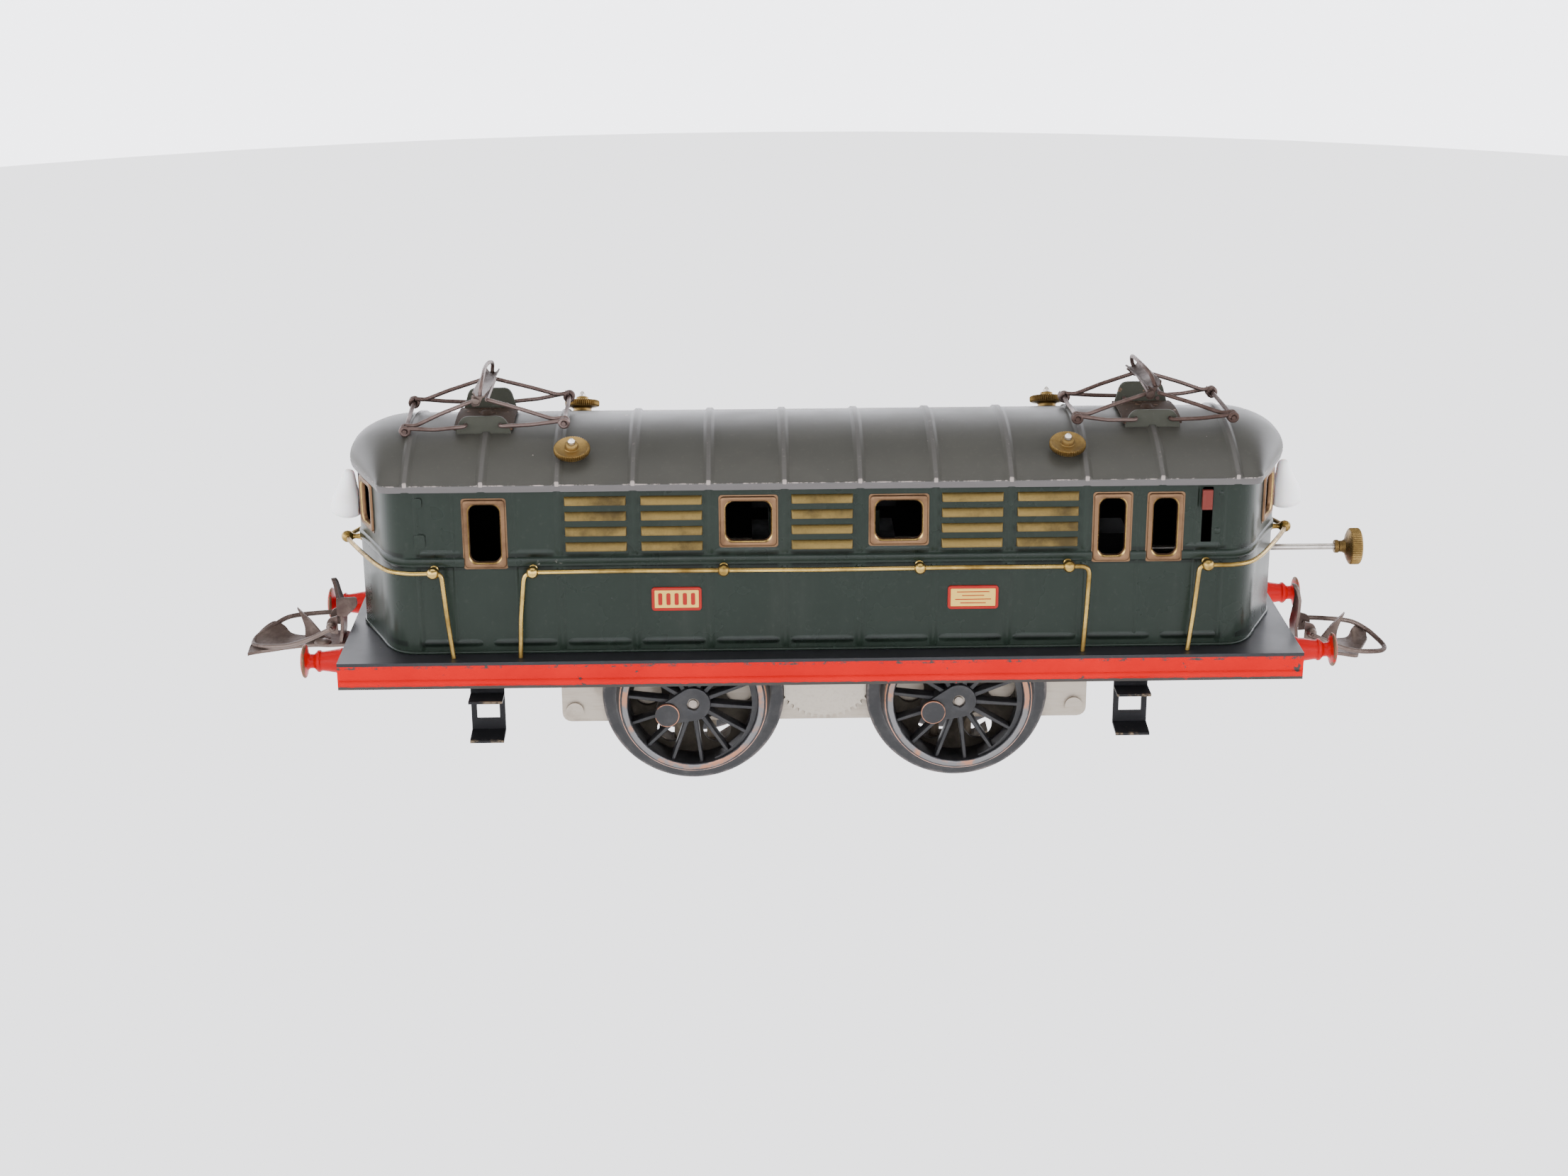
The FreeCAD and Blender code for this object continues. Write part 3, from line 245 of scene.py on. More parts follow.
BLACK = painted("deck_black_enamel", (0.013, 0.013, 0.015), (0.20, 0.145, 0.075),
                edges=[("ay", 31.1, 0.25, 0.34), ("ax", 111.95, 0.35, 0.42)], chips=0.002,
                rough=0.36, coat=0.05, dust=(0.05, 0.05, 0.055), gloss=0.25)
STEP_BLACK = painted("step_black_enamel", (0.009, 0.009, 0.010), (0.12, 0.09, 0.06),
                     edges=[("ay", 33.3, 0.8, 0.54), ("z", 18.0, 0.6, 0.38)], chips=0.02,
                     rough=0.36, haze=0.08, coat=0.03, dust=(0.04, 0.04, 0.04))
LEVER_RED = painted("lever_red_paint", (0.13, 0.022, 0.016), (0.14, 0.095, 0.07), chips=0.02,
                    rough=0.4, haze=0.15, coat=0.05, dust=(0.16, 0.10, 0.08))
CREAM = painted("plate_cream", (0.66, 0.43, 0.095), (0.20, 0.14, 0.07), chips=0.004, rough=0.35,
                haze=0.1, coat=0.05, dust=(0.40, 0.28, 0.12))
PLATE_RED = painted("plate_red", (0.30, 0.012, 0.008), (0.35, 0.25, 0.10), chips=0.006, rough=0.35,
                    haze=0.06, coat=0.05, dust=(0.3, 0.06, 0.04))
GOLD_PAINT = metal("louvre_gold_paint", (0.140, 0.094, 0.025), (0.058, 0.040, 0.012), rough=0.42,
                   bump=0.7, tone=0.7)
COPPER = metal("window_brass", (0.155, 0.088, 0.046), (0.078, 0.043, 0.023), rough=0.34)
BRASS = metal("rail_brass", (0.47, 0.325, 0.098), (0.15, 0.092, 0.024), rough=0.14, spots=0.45,
              bump=0.2, tone=1.0)
AGED = metal("nut_brass", (0.24, 0.155, 0.052), (0.085, 0.052, 0.018), rough=0.30, spots=0.4,
             tone=0.95)
IRON = metal("brown_iron", (0.120, 0.084, 0.074), (0.050, 0.028, 0.021), rough=0.36, spots=0.5,
             bump=0.5, tone=0.7)
TIN = metal("tinned_plate", (0.36, 0.315, 0.26), (0.20, 0.168, 0.13), rough=0.40,
            brush=(0.08, 1, 1), tone=0.8)
STEEL = metal("bright_steel", (0.50, 0.47, 0.43), (0.22, 0.19, 0.17), rough=0.26, tone=1.0)
DARK_IRON = metal("stamped_iron", (0.012, 0.012, 0.013), (0.007, 0.007, 0.006), rough=0.7,
                  spots=0.5, tone=0.1, gloss=0.06)
GEAR = metal("gear_steel", (0.40, 0.36, 0.30), (0.24, 0.20, 0.15), rough=0.42, spots=0.3, tone=0.75)
# near-black steel on the axle gears and brush holders, much darker than the idler gear
DARK_STEEL = metal("dark_steel", (0.045, 0.038, 0.028), (0.018, 0.014, 0.010), rough=0.5, spots=0.5,
              tone=0.4, gloss=0.2)
SHOE_STEEL = metal("pickup_steel", (0.17, 0.145, 0.11), (0.07, 0.055, 0.04), rough=0.55, spots=0.5,
                   tone=0.6, gloss=0.2)
AXLE_STEEL = metal("axle_steel", (0.34, 0.30, 0.26), (0.16, 0.135, 0.11), rough=0.34, spots=0.4)
FIBRE = painted("fibre_board", (0.022, 0.011, 0.008), (0.05, 0.03, 0.02), chips=0.01, rough=0.7,
                haze=0.15, dust=(0.03, 0.02, 0.016), gloss=0.08)
COIL = painted("cotton_covering", (0.008, 0.014, 0.009), (0.08, 0.07, 0.04), chips=0.01, rough=0.75,
               haze=0.3, grain=0.5, dust=(0.02, 0.025, 0.018))
EAR_GREY = painted("ear_grey_paint", (0.040, 0.041, 0.031), (0.14, 0.09, 0.06),
                   edges=[("ay", 9.7, 0.25, 0.25)], chips=0.03, rough=0.42, haze=0.2,
                   dust=(0.085, 0.082, 0.062), chip_scale=420.0)
RUSTY = painted("rusty_inside", (0.030, 0.018, 0.012), (0.09, 0.05, 0.03), chips=0.12, rough=0.65,
                haze=0.3, dust=(0.018, 0.030, 0.020), grain=0.3, chip_scale=500.0)
# near-black inside: painted shade for the dark inside of the body, its cut window jambs and the
# reverser box
INSIDE_SHADE = painted("interior_painted_shade", (0.006, 0.006, 0.006), (0.015, 0.014, 0.012), chips=0.01,
                 rough=0.8, haze=0.1, dust=(0.01, 0.01, 0.009), gloss=0.05)
SHOE = metal("worn_shoe", (0.090, 0.066, 0.056), (0.036, 0.022, 0.017), rough=0.36, spots=0.55,
             bump=0.5, tone=0.8)
COUPLER_IRON = metal("coupler_iron", (0.140, 0.106, 0.090), (0.056, 0.037, 0.030), rough=0.36,
                     spots=0.45, bump=0.5, tone=0.75)


def lamp_white():
    s = Shader("frosted_lamp", Subsurface_Weight=0.25, Subsurface_Scale=0.004, Coat_Weight=0.3,
               Coat_Roughness=0.1)
    cloud = s.noise(120.0, 4.0, 0.6)
    fine = s.noise(2500.0, 3.0, 0.6)
    col = s.mix(s.ramp(cloud, 0.4, 0.8), (0.86, 0.86, 0.85), (0.78, 0.77, 0.74))
    s.bump(fine, 0.15, 0.00005)
    return s.finish(col, s.blend(cloud, 0.30, 0.42))


LAMP = lamp_white()


def wheel_paint(name, cx, cz):
    """Grey-black casting with a bright worn face ring, copper showing at its edges."""
    s = Shader(name, Specular_IOR_Level=0.33)
    x, y, z = s.node("SeparateXYZ", {0: s.place}, None)

    def radius(px, pz):
        dx = s.minus(x, px * MM)
        dz = s.minus(z, pz * MM)
        return s.math("SQRT", s.plus(s.times(dx, dx), s.times(dz, dz)))

    def worn(mask, level, low, high):
        return s.ramp(s.plus(s.times(mask, level), pick), low, high)

    rad = radius(cx, cz)
    pick = s.noise(190.0, 6.0, 0.7)
    fine = s.noise(1500.0, 4.0, 0.6)
    depth = s.math("ABSOLUTE", y)
    face = s.ramp(depth, 20.9 * MM, 21.2 * MM)
    paint = s.mix(s.ramp(pick, 0.4, 0.75), (0.010, 0.010, 0.011), (0.026, 0.025, 0.025))
    bright = worn(s.times(near(s, rad, 16.25 * MM, 0.95 * MM), face), 0.80, 0.92, 1.15)
    copper = s.noise(110.0, 4.0, 0.6, offset=(4, 4, 4))
    ring = s.mix(s.ramp(copper, 0.50, 0.60), (0.150, 0.148, 0.150), (0.32, 0.155, 0.098))
    lip = worn(s.times(near(s, rad, 17.45 * MM, 0.30 * MM), s.ramp(depth, 20.2 * MM, 20.5 * MM)),
               0.55, 0.90, 1.05)
    pin = radius(cx + PIN[0], cz + PIN[1])
    head = worn(s.times(near(s, pin, 2.85 * MM, 0.35 * MM), s.ramp(depth, 22.3 * MM, 22.5 * MM)),
                0.55, 0.92, 1.05)
    tread = s.times(near(s, rad, 18.1 * MM, 0.9 * MM), s.ramp(depth, 15.4 * MM, 15.9 * MM))
    tread = worn(tread, 0.6, 0.90, 1.15)
    flange = worn(s.ramp(rad, 20.2 * MM, 21.4 * MM), 0.5, 0.88, 1.15)
    col = s.mix(tread, paint, (0.085, 0.078, 0.076))
    col = s.mix(flange, col, (0.105, 0.090, 0.085))
    col = s.mix(bright, col, ring)
    col = s.mix(s.most(lip, head), col, (0.36, 0.165, 0.10))
    metalness = bright
    for mask in (lip, head, tread, flange):
        metalness = s.most(metalness, mask)
    s.bump(s.plus(fine, s.times(bright, -0.5)), 0.35, 0.00008)
    return s.finish(col, s.blend(metalness, 0.40, 0.28), s.times(metalness, 0.85))


# ---- mesh helpers -------------------------------------------------------
def link(name, data):
    obj = bpy.data.objects.new(name, data)
    bpy.context.scene.collection.objects.link(obj)
    return obj


def bevel_edges(obj, width, angle):
    bevel = obj.modifiers.new("edges", "BEVEL")
    bevel.width = width * MM
    bevel.segments = 2
    bevel.limit_method = "ANGLE"
    bevel.angle_limit = math.radians(angle)


def smooth_mesh(mesh, angle):
    mesh.shade_smooth()
    mesh.set_sharp_from_angle(angle=math.radians(angle))


def solid(name, parts, mat):
    """One object from parts, each (vertices in mm, faces)."""
    verts, faces = merge(parts)
    mesh = bpy.data.meshes.new(name)
    mesh.from_pydata([(v[0] * MM, v[1] * MM, v[2] * MM) for v in verts], [], faces)
    bm = bmesh.new()
    bm.from_mesh(mesh)
    bmesh.ops.remove_doubles(bm, verts=bm.verts, dist=1e-7)
    bmesh.ops.recalc_face_normals(bm, faces=bm.faces)
    bm.to_mesh(mesh)
    bm.free()
    mesh.materials.append(mat)
    return link(name, mesh)


def add(name, parts, mat, body=LOCO, hides=None, angle=35.0, bevel=0.0, smooth=True):
    """A piece that rides on a body and may stand for a CAD node."""
    obj = solid(name, parts, mat)
    if bevel:
        bevel_edges(obj, bevel, angle)
    if smooth:
        smooth_mesh(obj.data, angle)
    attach(obj, body)
    if hides:
        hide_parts(hides)
    return obj


def strips(rings, count, closed=True, wrap=False):
    """Quads between successive rings of count points; wrap joins the last to the first."""
    faces = []
    for k in range(rings if wrap else rings - 1):
        m = (k + 1) % rings
        for i in range(count if closed else count - 1):
            j = (i + 1) % count
            faces.append((k * count + i, k * count + j, m * count + j, m * count + i))
    return faces


def joined(rings, closed=True, wrap=False):
    """Skin over rings of equally many points."""
    faces = strips(len(rings), len(rings[0]), closed, wrap)
    return [v for ring in rings for v in ring], faces


def capped(rings, count):
    last = (rings - 1) * count
    ends = [tuple(range(count - 1, -1, -1)), tuple(range(last, last + count))]
    return strips(rings, count) + ends


def grid_edge(rows, row):
    """Indices round the border of a grid that has row points in each of its rows."""
    edge = list(range(row)) + [i * row + row - 1 for i in range(1, rows)]
    edge += [(rows - 1) * row + k for k in range(row - 2, -1, -1)]
    return edge + [i * row for i in range(rows - 2, 0, -1)]


def plate_faces(rows, row):
    """Closes two equal grids, the lower one first, into a plate."""
    lower = strips(rows, row, closed=False)
    layer = rows * row
    faces = [f[::-1] for f in lower] + [tuple(layer + i for i in f) for f in lower]
    edge = grid_edge(rows, row)
    return faces + [(a, b, layer + b, layer + a) for a, b in zip(edge, edge[1:] + edge[:1])]


def heading(pts, i):
    """Direction of a line of points at its point i."""
    return (pts[min(i + 1, len(pts) - 1)] - pts[max(i - 1, 0)]).normalized()


def turns(segs):
    """Angles of segs points round a circle."""
    return [2 * math.pi * i / segs for i in range(segs)]


def clamp(value):
    return min(max(value, 0.0), 1.0)


def basis(axis):
    w = Vector(axis).normalized()
    helper = Vector((0, 0, 1)) if abs(w.z) < 0.9 else Vector((1, 0, 0))
    u = helper.cross(w).normalized()
    return u, w.cross(u), w


def lathe_mesh(profile, base, axis, segs=72, knurl=None):
    """Turned shape. knurl = (rows, teeth, depth) cuts grips into those profile rows."""
    u, v, w = basis(axis)
    base = Vector(base)
    verts = []
    for k, (r, h) in enumerate(profile):
        for a in turns(segs):
            rr = r
            if knurl and k in knurl[0]:
                rr = r - knurl[2] * (0.5 - 0.5 * math.cos(a * knurl[1])) ** 0.6
            verts.append(base + (u * math.cos(a) + v * math.sin(a)) * rr + w * h)
    return verts, capped(len(profile), segs)


def bent(points, radius, steps=6, share=0.48):
    """Straight runs joined by arcs of about that radius."""
    pts = [Vector(p) for p in points]
    out = [pts[0]]
    for a, b, c in zip(pts[:-2], pts[1:-1], pts[2:]):
        da = a - b
        dc = c - b
        cut = min(radius, da.length * share, dc.length * share)
        p = b + da.normalized() * cut
        q = b + dc.normalized() * cut
        for i in range(steps + 1):
            t = i / steps
            out.append(p * (1 - t) ** 2 + b * 2 * t * (1 - t) + q * t * t)
    return out + [pts[-1]]


def rounded_profile(points, radius, steps):
    return bent(points, radius, steps, 0.45)


def catmull(points, per=8):
    """Smooth line through the points."""
    pts = [Vector(p) for p in points]
    ext = [pts[0] * 2 - pts[1]] + pts + [pts[-1] * 2 - pts[-2]]
    out = []
    for i in range(1, len(ext) - 2):
        p0, p1, p2, p3 = ext[i - 1:i + 3]
        for k in range(per):
            t = k / per
            out.append(0.5 * (2 * p1 + (p2 - p0) * t + (2 * p0 - 5 * p1 + 4 * p2 - p3) * t * t
                              + (3 * p1 - p0 - 3 * p2 + p3) * t ** 3))
    out.append(pts[-1])
    return out


def tube_mesh(path, radius, segs=14):
    """Round wire along a path."""
    pts = [Vector(path[0])]
    for p in path[1:]:
        if (Vector(p) - pts[-1]).length > 1e-3:
            pts.append(Vector(p))
    verts = []
    normal = basis(heading(pts, 0))[0]
    for i, p in enumerate(pts):
        t = heading(pts, i)
        normal = (normal - t * normal.dot(t)).normalized()
        other = t.cross(normal)
        for a in turns(segs):
            verts.append(p + normal * (math.cos(a) * radius) + other * (math.sin(a) * radius))
    return verts, capped(len(pts), segs)


def merge(parts):
    verts = []
    faces = []
    for vs, fs in parts:
        shift = len(verts)
        verts += list(vs)
        faces += [tuple(i + shift for i in f) for f in fs]
    return verts, faces


def move(part, matrix):
    return [matrix @ Vector(v) for v in part[0]], part[1]


def half_turned(part):
    return [Vector((-v[0], -v[1], v[2])) for v in part[0]], part[1]


def both(parts):
    """The parts and the same parts turned half round."""
    return parts + [half_turned(p) for p in parts]


def flipped_y(part):
    return [Vector((v[0], -v[1], v[2])) for v in part[0]], [tuple(reversed(f)) for f in part[1]]


def slab(outline, y0, y1):
    """Outline in X and Z, carried along Y from y0 to y1."""
    n = len(outline)
    verts = [(p[0], y, p[1]) for y in (y0, y1) for p in outline]
    return verts, [tuple(range(n)), tuple(range(2 * n - 1, n - 1, -1))] + strips(2, n)


def flat_pad(cx, cz, w, h, r, out, sink=0.0):
    """Rounded rectangle on the near wall, from sink to out in front of it."""
    return slab(rounded_rect(cx, cz, w, h, r), -HALF_W - out, -HALF_W - sink)


def rounded_rect(cx, cz, w, h, r, steps=6):
    out = []
    for sx, sz, a0 in ((1, 1, 0), (-1, 1, 90), (-1, -1, 180), (1, -1, 270)):
        for i in range(steps + 1):
            a = math.radians(a0 + 90 * i / steps)
            out.append((cx + sx * (w / 2 - r) + r * math.cos(a),
                        cz + sz * (h / 2 - r) + r * math.sin(a)))
    return out


# ---- body shell ---------------------------------------------------------
def outline_quarter(inset=0.0, steps=10):
    """Right-hand near quarter of the body outline, from the side to the nose."""
    p0, p1, p2, p3 = (Vector((STRAIGHT, -HALF_W)), Vector((99.4, -HALF_W)), Vector((101.6, -19.4)),
                      Vector(FACET[0]))
    pts = []
    for i in range(steps + 1):
        t = i / steps
        u = 1 - t
        pts.append(p0 * u ** 3 + p1 * 3 * t * u ** 2 + p2 * 3 * t * t * u + p3 * t ** 3)
    pts += [Vector(FACET[1]) - Vector((0.35, 0.8)), Vector((FACET[1][0], -0.9))]
    if inset:
        ways = [heading(pts, i) for i in range(len(pts))]
        pts = [p + Vector((-d.y, d.x)) * inset for p, d in zip(pts, ways)]
    return [(p.x, p.y) for p in pts]


def full_outline(inset=0.0):
    q = outline_quarter(inset)
    right = q + [(x, -y) for x, y in reversed(q)]
    return right + [(-x, -y) for x, y in right]


def facet_matrix():
    """Places a panel drawn about x = 0, y = 0 onto the near window facet."""
    a = Vector((*FACET[0], 0))
    b = Vector((*FACET[1], 0))
    turn = math.atan2(b.y - a.y, b.x - a.x)
    return Matrix.Translation((a + b) / 2) @ Matrix.Rotation(turn, 4, "Z")


def four_ends(part):
    """A part on the right near facet, copied to all four facets."""
    return both([part]) + both([flipped_y(part)])


def wall_mesh():
    outer = full_outline()
    inner = full_outline(WALL_THICKNESS)
    loops = ((outer, DECK_TOP), (outer, WALL_TOP), (inner, WALL_TOP), (inner, DECK_TOP))
    return joined([[(x, y, z) for x, y in loop] for loop, z in loops], wrap=True)


def opening(cx, w, z0, z1, corner, y0, y1):
    """Cutter for the hole inside a window frame."""
    inset = 2 * BORDER - 0.3
    return slab(rounded_rect(cx, (z0 + z1) / 2, w - inset, z1 - z0 - inset, corner), y0, y1)


def window_cutters():
    cuts = both([opening(*window, 1.2, *CUT_DEPTH) for window in WINDOWS])
    cuts.append(slab(rounded_rect(*LEVER_SLOT, 0.35), *CUT_DEPTH))
    cuts += four_ends(move(opening(0, *FACET_WINDOW, 0.8, -3, 3), facet_matrix()))
    cuts.append(lathe_mesh([(0.9, 0), (0.9, 6)], (106, 0, ROD_Z), (1, 0, 0), 24))
    return cuts


def soft_rib(x, z0, z1, height=0.5, half=1.15):
    """Pressed upright rib with rounded section and tapered ends."""
    section = [(-1.0, 0.0), (-0.72, 0.16), (-0.4, 0.62), (0, 1.0), (0.4, 0.62), (0.72, 0.16),
               (1.0, 0.0)]
    stations = [(z0, 0.0), (z0 + 0.7, 0.75), (z0 + 1.6, 1.0), (z1 - 1.6, 1.0), (z1 - 0.7, 0.75),
                (z1, 0.0)]
    rings = []
    for z, lift in stations:
        width = half * (0.55 + 0.45 * lift)
        rings.append([(x + dx * width, -HALF_W - height * up * lift, z) for dx, up in section])
    return joined(rings, closed=False)


def door_window_spans(margin):
    """Near-side stretches of wall that the tall door windows take."""
    return [(cx - w / 2 - margin, cx + w / 2 + margin) for cx, w, z0, _ in WINDOWS if z0 < TALL]


def belt():
    """Pressed waist belt along the side and round the corners, broken at the tall windows."""
    gaps = door_window_spans(-0.2)
    corner = outline_quarter()
    path = [(-x, y) for x, y in reversed(corner)]
    path += [(x, -HALF_W) for x in sorted(x for gap in gaps for x in gap)] + corner
    path = [Vector(p) for p in path]
    section = [(-1.25, 0.0), (-0.9, 0.24), (-0.5, 0.38), (0.5, 0.38), (0.9, 0.24), (1.25, 0.0)]
    rings = []
    for i, p in enumerate(path):
        d = heading(path, i)
        rings.append([(p.x + d.y * lift, p.y - d.x * lift, BELT_Z + dz) for dz, lift in section])
    verts, faces = joined(rings, closed=False)

    def on_wall(k):
        middle = (path[k].x + path[k + 1].x) / 2
        return not any(lo < middle < hi for lo, hi in gaps)
    return verts, [f for f in faces if on_wall(f[0] // len(section))]


def panel_beads():
    """Low pressed beads that close the panels above the deck and above the belt."""
    beads = []
    edges = [-STRAIGHT] + [x for x in RIBS if abs(x) < STRAIGHT] + [STRAIGHT]
    for x0, x1 in zip(edges[:-1], edges[1:]):
        for z, lift in ((39.2, 0.26), (61.0, 0.22)):
            a = x0 + 1.3
            b = x1 - 1.3
            for lo, hi in door_window_spans(0.6):
                if z > BELT_Z and a < hi and b > lo:
                    a, b = (a, lo) if lo > a else (hi, b)
            if b - a >= 3.5:
                verts, faces = soft_rib(0, 0, b - a, lift, 1.0)
                beads.append(([(a + v[2], v[1], z + v[0]) for v in verts], faces))
    return beads


def door_grooves():
    """Fine raised outlines of the doors, below and beside their windows."""
    return [soft_rib(cx + s * w / 2, 38.2, 76.2, 0.16, 0.5) for cx, w in DOORS for s in (-1, 1)]


def pressings():
    parts = []
    for x in RIBS:
        crossed = [z0 for cx, w, z0, _ in WINDOWS if abs(x - cx) < w / 2 + 0.6]
        if abs(x) > STRAIGHT or any(z0 < TALL for z0 in crossed):
            continue
        parts.append(soft_rib(x, *LOWER_RIB))
        if not crossed:
            parts.append(soft_rib(x, *UPPER_RIB))
    parts = both(parts + door_grooves() + panel_beads() + [belt()])
    # foot bead along the deck
    loop = full_outline(-0.05)
    parts.append(tube_mesh([(x, y, DECK_TOP + 0.35) for x, y in loop + loop[:1]], 0.38, 8))
    # ribs just behind the cab facets
    parts += both([soft_rib(x, *span, 0.35, 0.8) for x in (92.6, -92.6)
                   for span in (LOWER_RIB, UPPER_RIB)])
    # folded lugs beside the left-hand door
    parts += both([flat_pad(-92.0, 64.2, 2.5, 3.1, 0.5, 0.45),
                   flat_pad(-92.1, 73.4, 2.0, 2.2, 0.5, 0.45)])
    return parts


def looks_inward(face):
    c = face.center / MM
    if abs(c.x) < STRAIGHT:
        return abs(c.y) < HALF_W - 0.3
    outward = Vector((math.copysign(0.8, c.x), math.copysign(0.6, c.y), 0))
    return face.normal.dot(outward) < -0.2


def cut_openings(wall):
    cutter = solid("body_wall_cutter", window_cutters(), INSIDE_SHADE)
    boolean = wall.modifiers.new("openings", "BOOLEAN")
    boolean.operation = "DIFFERENCE"
    boolean.solver = "EXACT"
    boolean.object = cutter
    boolean.material_mode = "TRANSFER"
    bpy.context.view_layer.update()
    ready = wall.evaluated_get(bpy.context.evaluated_depsgraph_get())
    mesh = bpy.data.meshes.new_from_object(ready)
    wall.modifiers.clear()
    wall.data = mesh
    bpy.data.objects.remove(cutter)
    smooth_mesh(mesh, 30)


def build_body():
    wall = add("body_wall", [wall_mesh()], GREEN, hides="body_shell", angle=30)
    # inward faces get the near-black inside, painted shade
    wall.data.materials.append(INSIDE_SHADE)
    for face in wall.data.polygons:
        face.material_index = int(looks_inward(face))
    cut_openings(wall)
    add("body_pressings", pressings(), GREEN, angle=50)
    for tag, x, z in (("upper", 92.1, 73.6), ("lower", 91.4, 64.6)):
        dimple = lathe_mesh([(0.0, 0.28), (0.4, 0.25), (0.8, 0.0)], (x, -HALF_W, z), (0, -1, 0), 20)
        add("body_rivet_" + tag, both([dimple]), GREEN)


def stepped_frame(cx, w, z0, z1, steps, corner):
    """Rounded frame on the near wall whose section is (inset, lift) steps."""
    rings = []
    for inset, lift in steps:
        ring = rounded_rect(cx, (z0 + z1) / 2, w - 2 * inset, z1 - z0 - 2 * inset, corner(inset))
        rings.append([(x, -HALF_W - lift, z) for x, z in ring])
    return joined(rings)


FRAME_STEPS = [(0.0, -0.05), (0.02, 0.10), (0.30, 0.12), (0.34, 0.34), (0.50, 0.52), (0.80, 0.58),
               (1.12, 0.55), (1.36, 0.40), (1.52, 0.16), (1.62, 0.02), (1.66, -0.70)]


def window_piece(cx, w, z0, z1):
    """Pressed brass frame with a rounded, stepped section."""
    return stepped_frame(cx, w, z0, z1, FRAME_STEPS, lambda inset: 0.7 + 0.75 * inset)


def frame_shadow_and_bright_band(obj):
    """Brighter brass band near the inner edge of the window frames, and black on their outer flange
    as painted shadow round each frame.
    """
    obj.data.materials.append(BRASS)
    obj.data.materials.append(STEP_BLACK)
    bands = len(FRAME_STEPS) - 1
    count = len(rounded_rect(0, 0, 1, 1, 0.1))
    for face in obj.data.polygons:
        # band 0, the outer flange, is black as painted shadow round the frame; band 7 is brighter
        # brass
        face.material_index = {0: 2, 7: 1}.get(face.index // count % bands, 0)


def build_windows():
    onto_facet = facet_matrix() @ Matrix.Translation((0, HALF_W, 0))
    for where, parts in (("side", both([window_piece(*window) for window in WINDOWS])),
                         ("end", four_ends(move(window_piece(0, *FACET_WINDOW), onto_facet)))):
        frame_shadow_and_bright_band(add("window_frames_" + where, parts, COPPER,
                        hides=where + "_window_frames", angle=50))


def louvre(cx, top, width=14.1, height=1.95):
    """One pressed louvre: a bulged blade, open along its lower edge."""
    cols = [(-0.5, 0.0), (-0.498, 0.5), (-0.49, 0.86), (-0.475, 1.0), (0.475, 1.0), (0.49, 0.86),
            (0.498, 0.5), (0.5, 0.0)]
    rows = [(0.0, 0.0), (0.05, 0.22), (0.16, 0.46), (0.40, 0.70), (0.70, 0.90), (0.90, 1.0),
            (0.99, 0.94), (1.0, 0.80), (0.93, 0.2)]
    return joined([[(cx + fx * width, -HALF_W - 0.04 - lift * lift_x, top - fz * height)
                    for fz, lift in rows] for fx, lift_x in cols], closed=False)


def build_louvres():
    spots = [(cx, 74.5 - row * 3.66) for cx in LOUVRES for row in range(4)]
    add("louvre_blades", both([louvre(*spot) for spot in spots]), GOLD_PAINT,
        hides="louvre_slats", angle=55)
    add("louvre_lips", both([flat_pad(cx, top - 2.3, 14.4, 0.9, 0.3, 0.16) for cx, top in spots]),
        GREEN, smooth=False)


def build_plates():
    """One plate carries upright bars, the other short lines, in place of lettering."""
    steps = [(0.0, 0.0), (0.05, 0.40), (0.25, 0.50), (0.55, 0.50), (0.7, 0.36), (0.7, 0.30)]
    borders = [stepped_frame(*plate, steps, lambda inset: max(0.8 - inset, 0.2))
               for plate in PLATES]
    fields = [flat_pad(cx, (z0 + z1) / 2, w - 1.3, z1 - z0 - 1.3, 0.25, 0.34, 0.05)
              for cx, w, z0, z1 in PLATES]
    (bars_x, _, b0, b1), (lines_x, _, l0, l1) = PLATES
    marks = [flat_pad(bars_x - 3.8 + 1.9 * i, (b0 + b1) / 2, 0.95, 2.9, 0.3, 0.46, 0.3)
             for i in range(5)]
    marks += [flat_pad(lines_x, (l0 + l1) / 2 + 1.35 - 0.9 * i, length, 0.22, 0.1, 0.40, 0.3)
              for i, length in enumerate((7.6, 5.2, 8.4, 6.0))]
    add("plate_borders", both(borders), PLATE_RED, hides="number_plates", angle=50)
    add("plate_fields", both(fields), CREAM, smooth=False, bevel=0.05)
    add("plate_marks", both(marks), PLATE_RED, smooth=False, bevel=0.04)


# ---- roof ---------------------------------------------------------------
def roof_end_x(y):
    """X of the roof's end: a blunt arrow in plan with rounded corners."""
    y = abs(y)
    soft = math.sqrt(max(min(y, 25.0) - 2.0, 0.0) ** 2 + 6.0) - math.sqrt(6.0)
    t = clamp((y - 25.0) / 2.4)
    return 110.5 - 0.439 * soft - 3.2 * (1 - math.sqrt(1 - t * t))


def barrel(y):
    return CROWN - ROOF_R + math.sqrt(ROOF_R ** 2 - y * y)


def roof_height(x, y, lift=0.0):
    """Roof surface: barrel along the middle, falling to the level eave at both ends."""
    edge = roof_end_x(y)
    g = 1.0
    if abs(x) > ROOF_FLAT:
        t = min((abs(x) - ROOF_FLAT) / (edge - ROOF_FLAT), 1.0)
        g = math.sqrt(max(1 - t ** 2.3, 0.0))
    z = EAVE + (barrel(y) - EAVE) * g
    for rx in RIBS:
        d = abs(x - rx)
        if d < 1.06:
            z += lift * min((1.06 - d) / 0.42, 1.0)
    return z


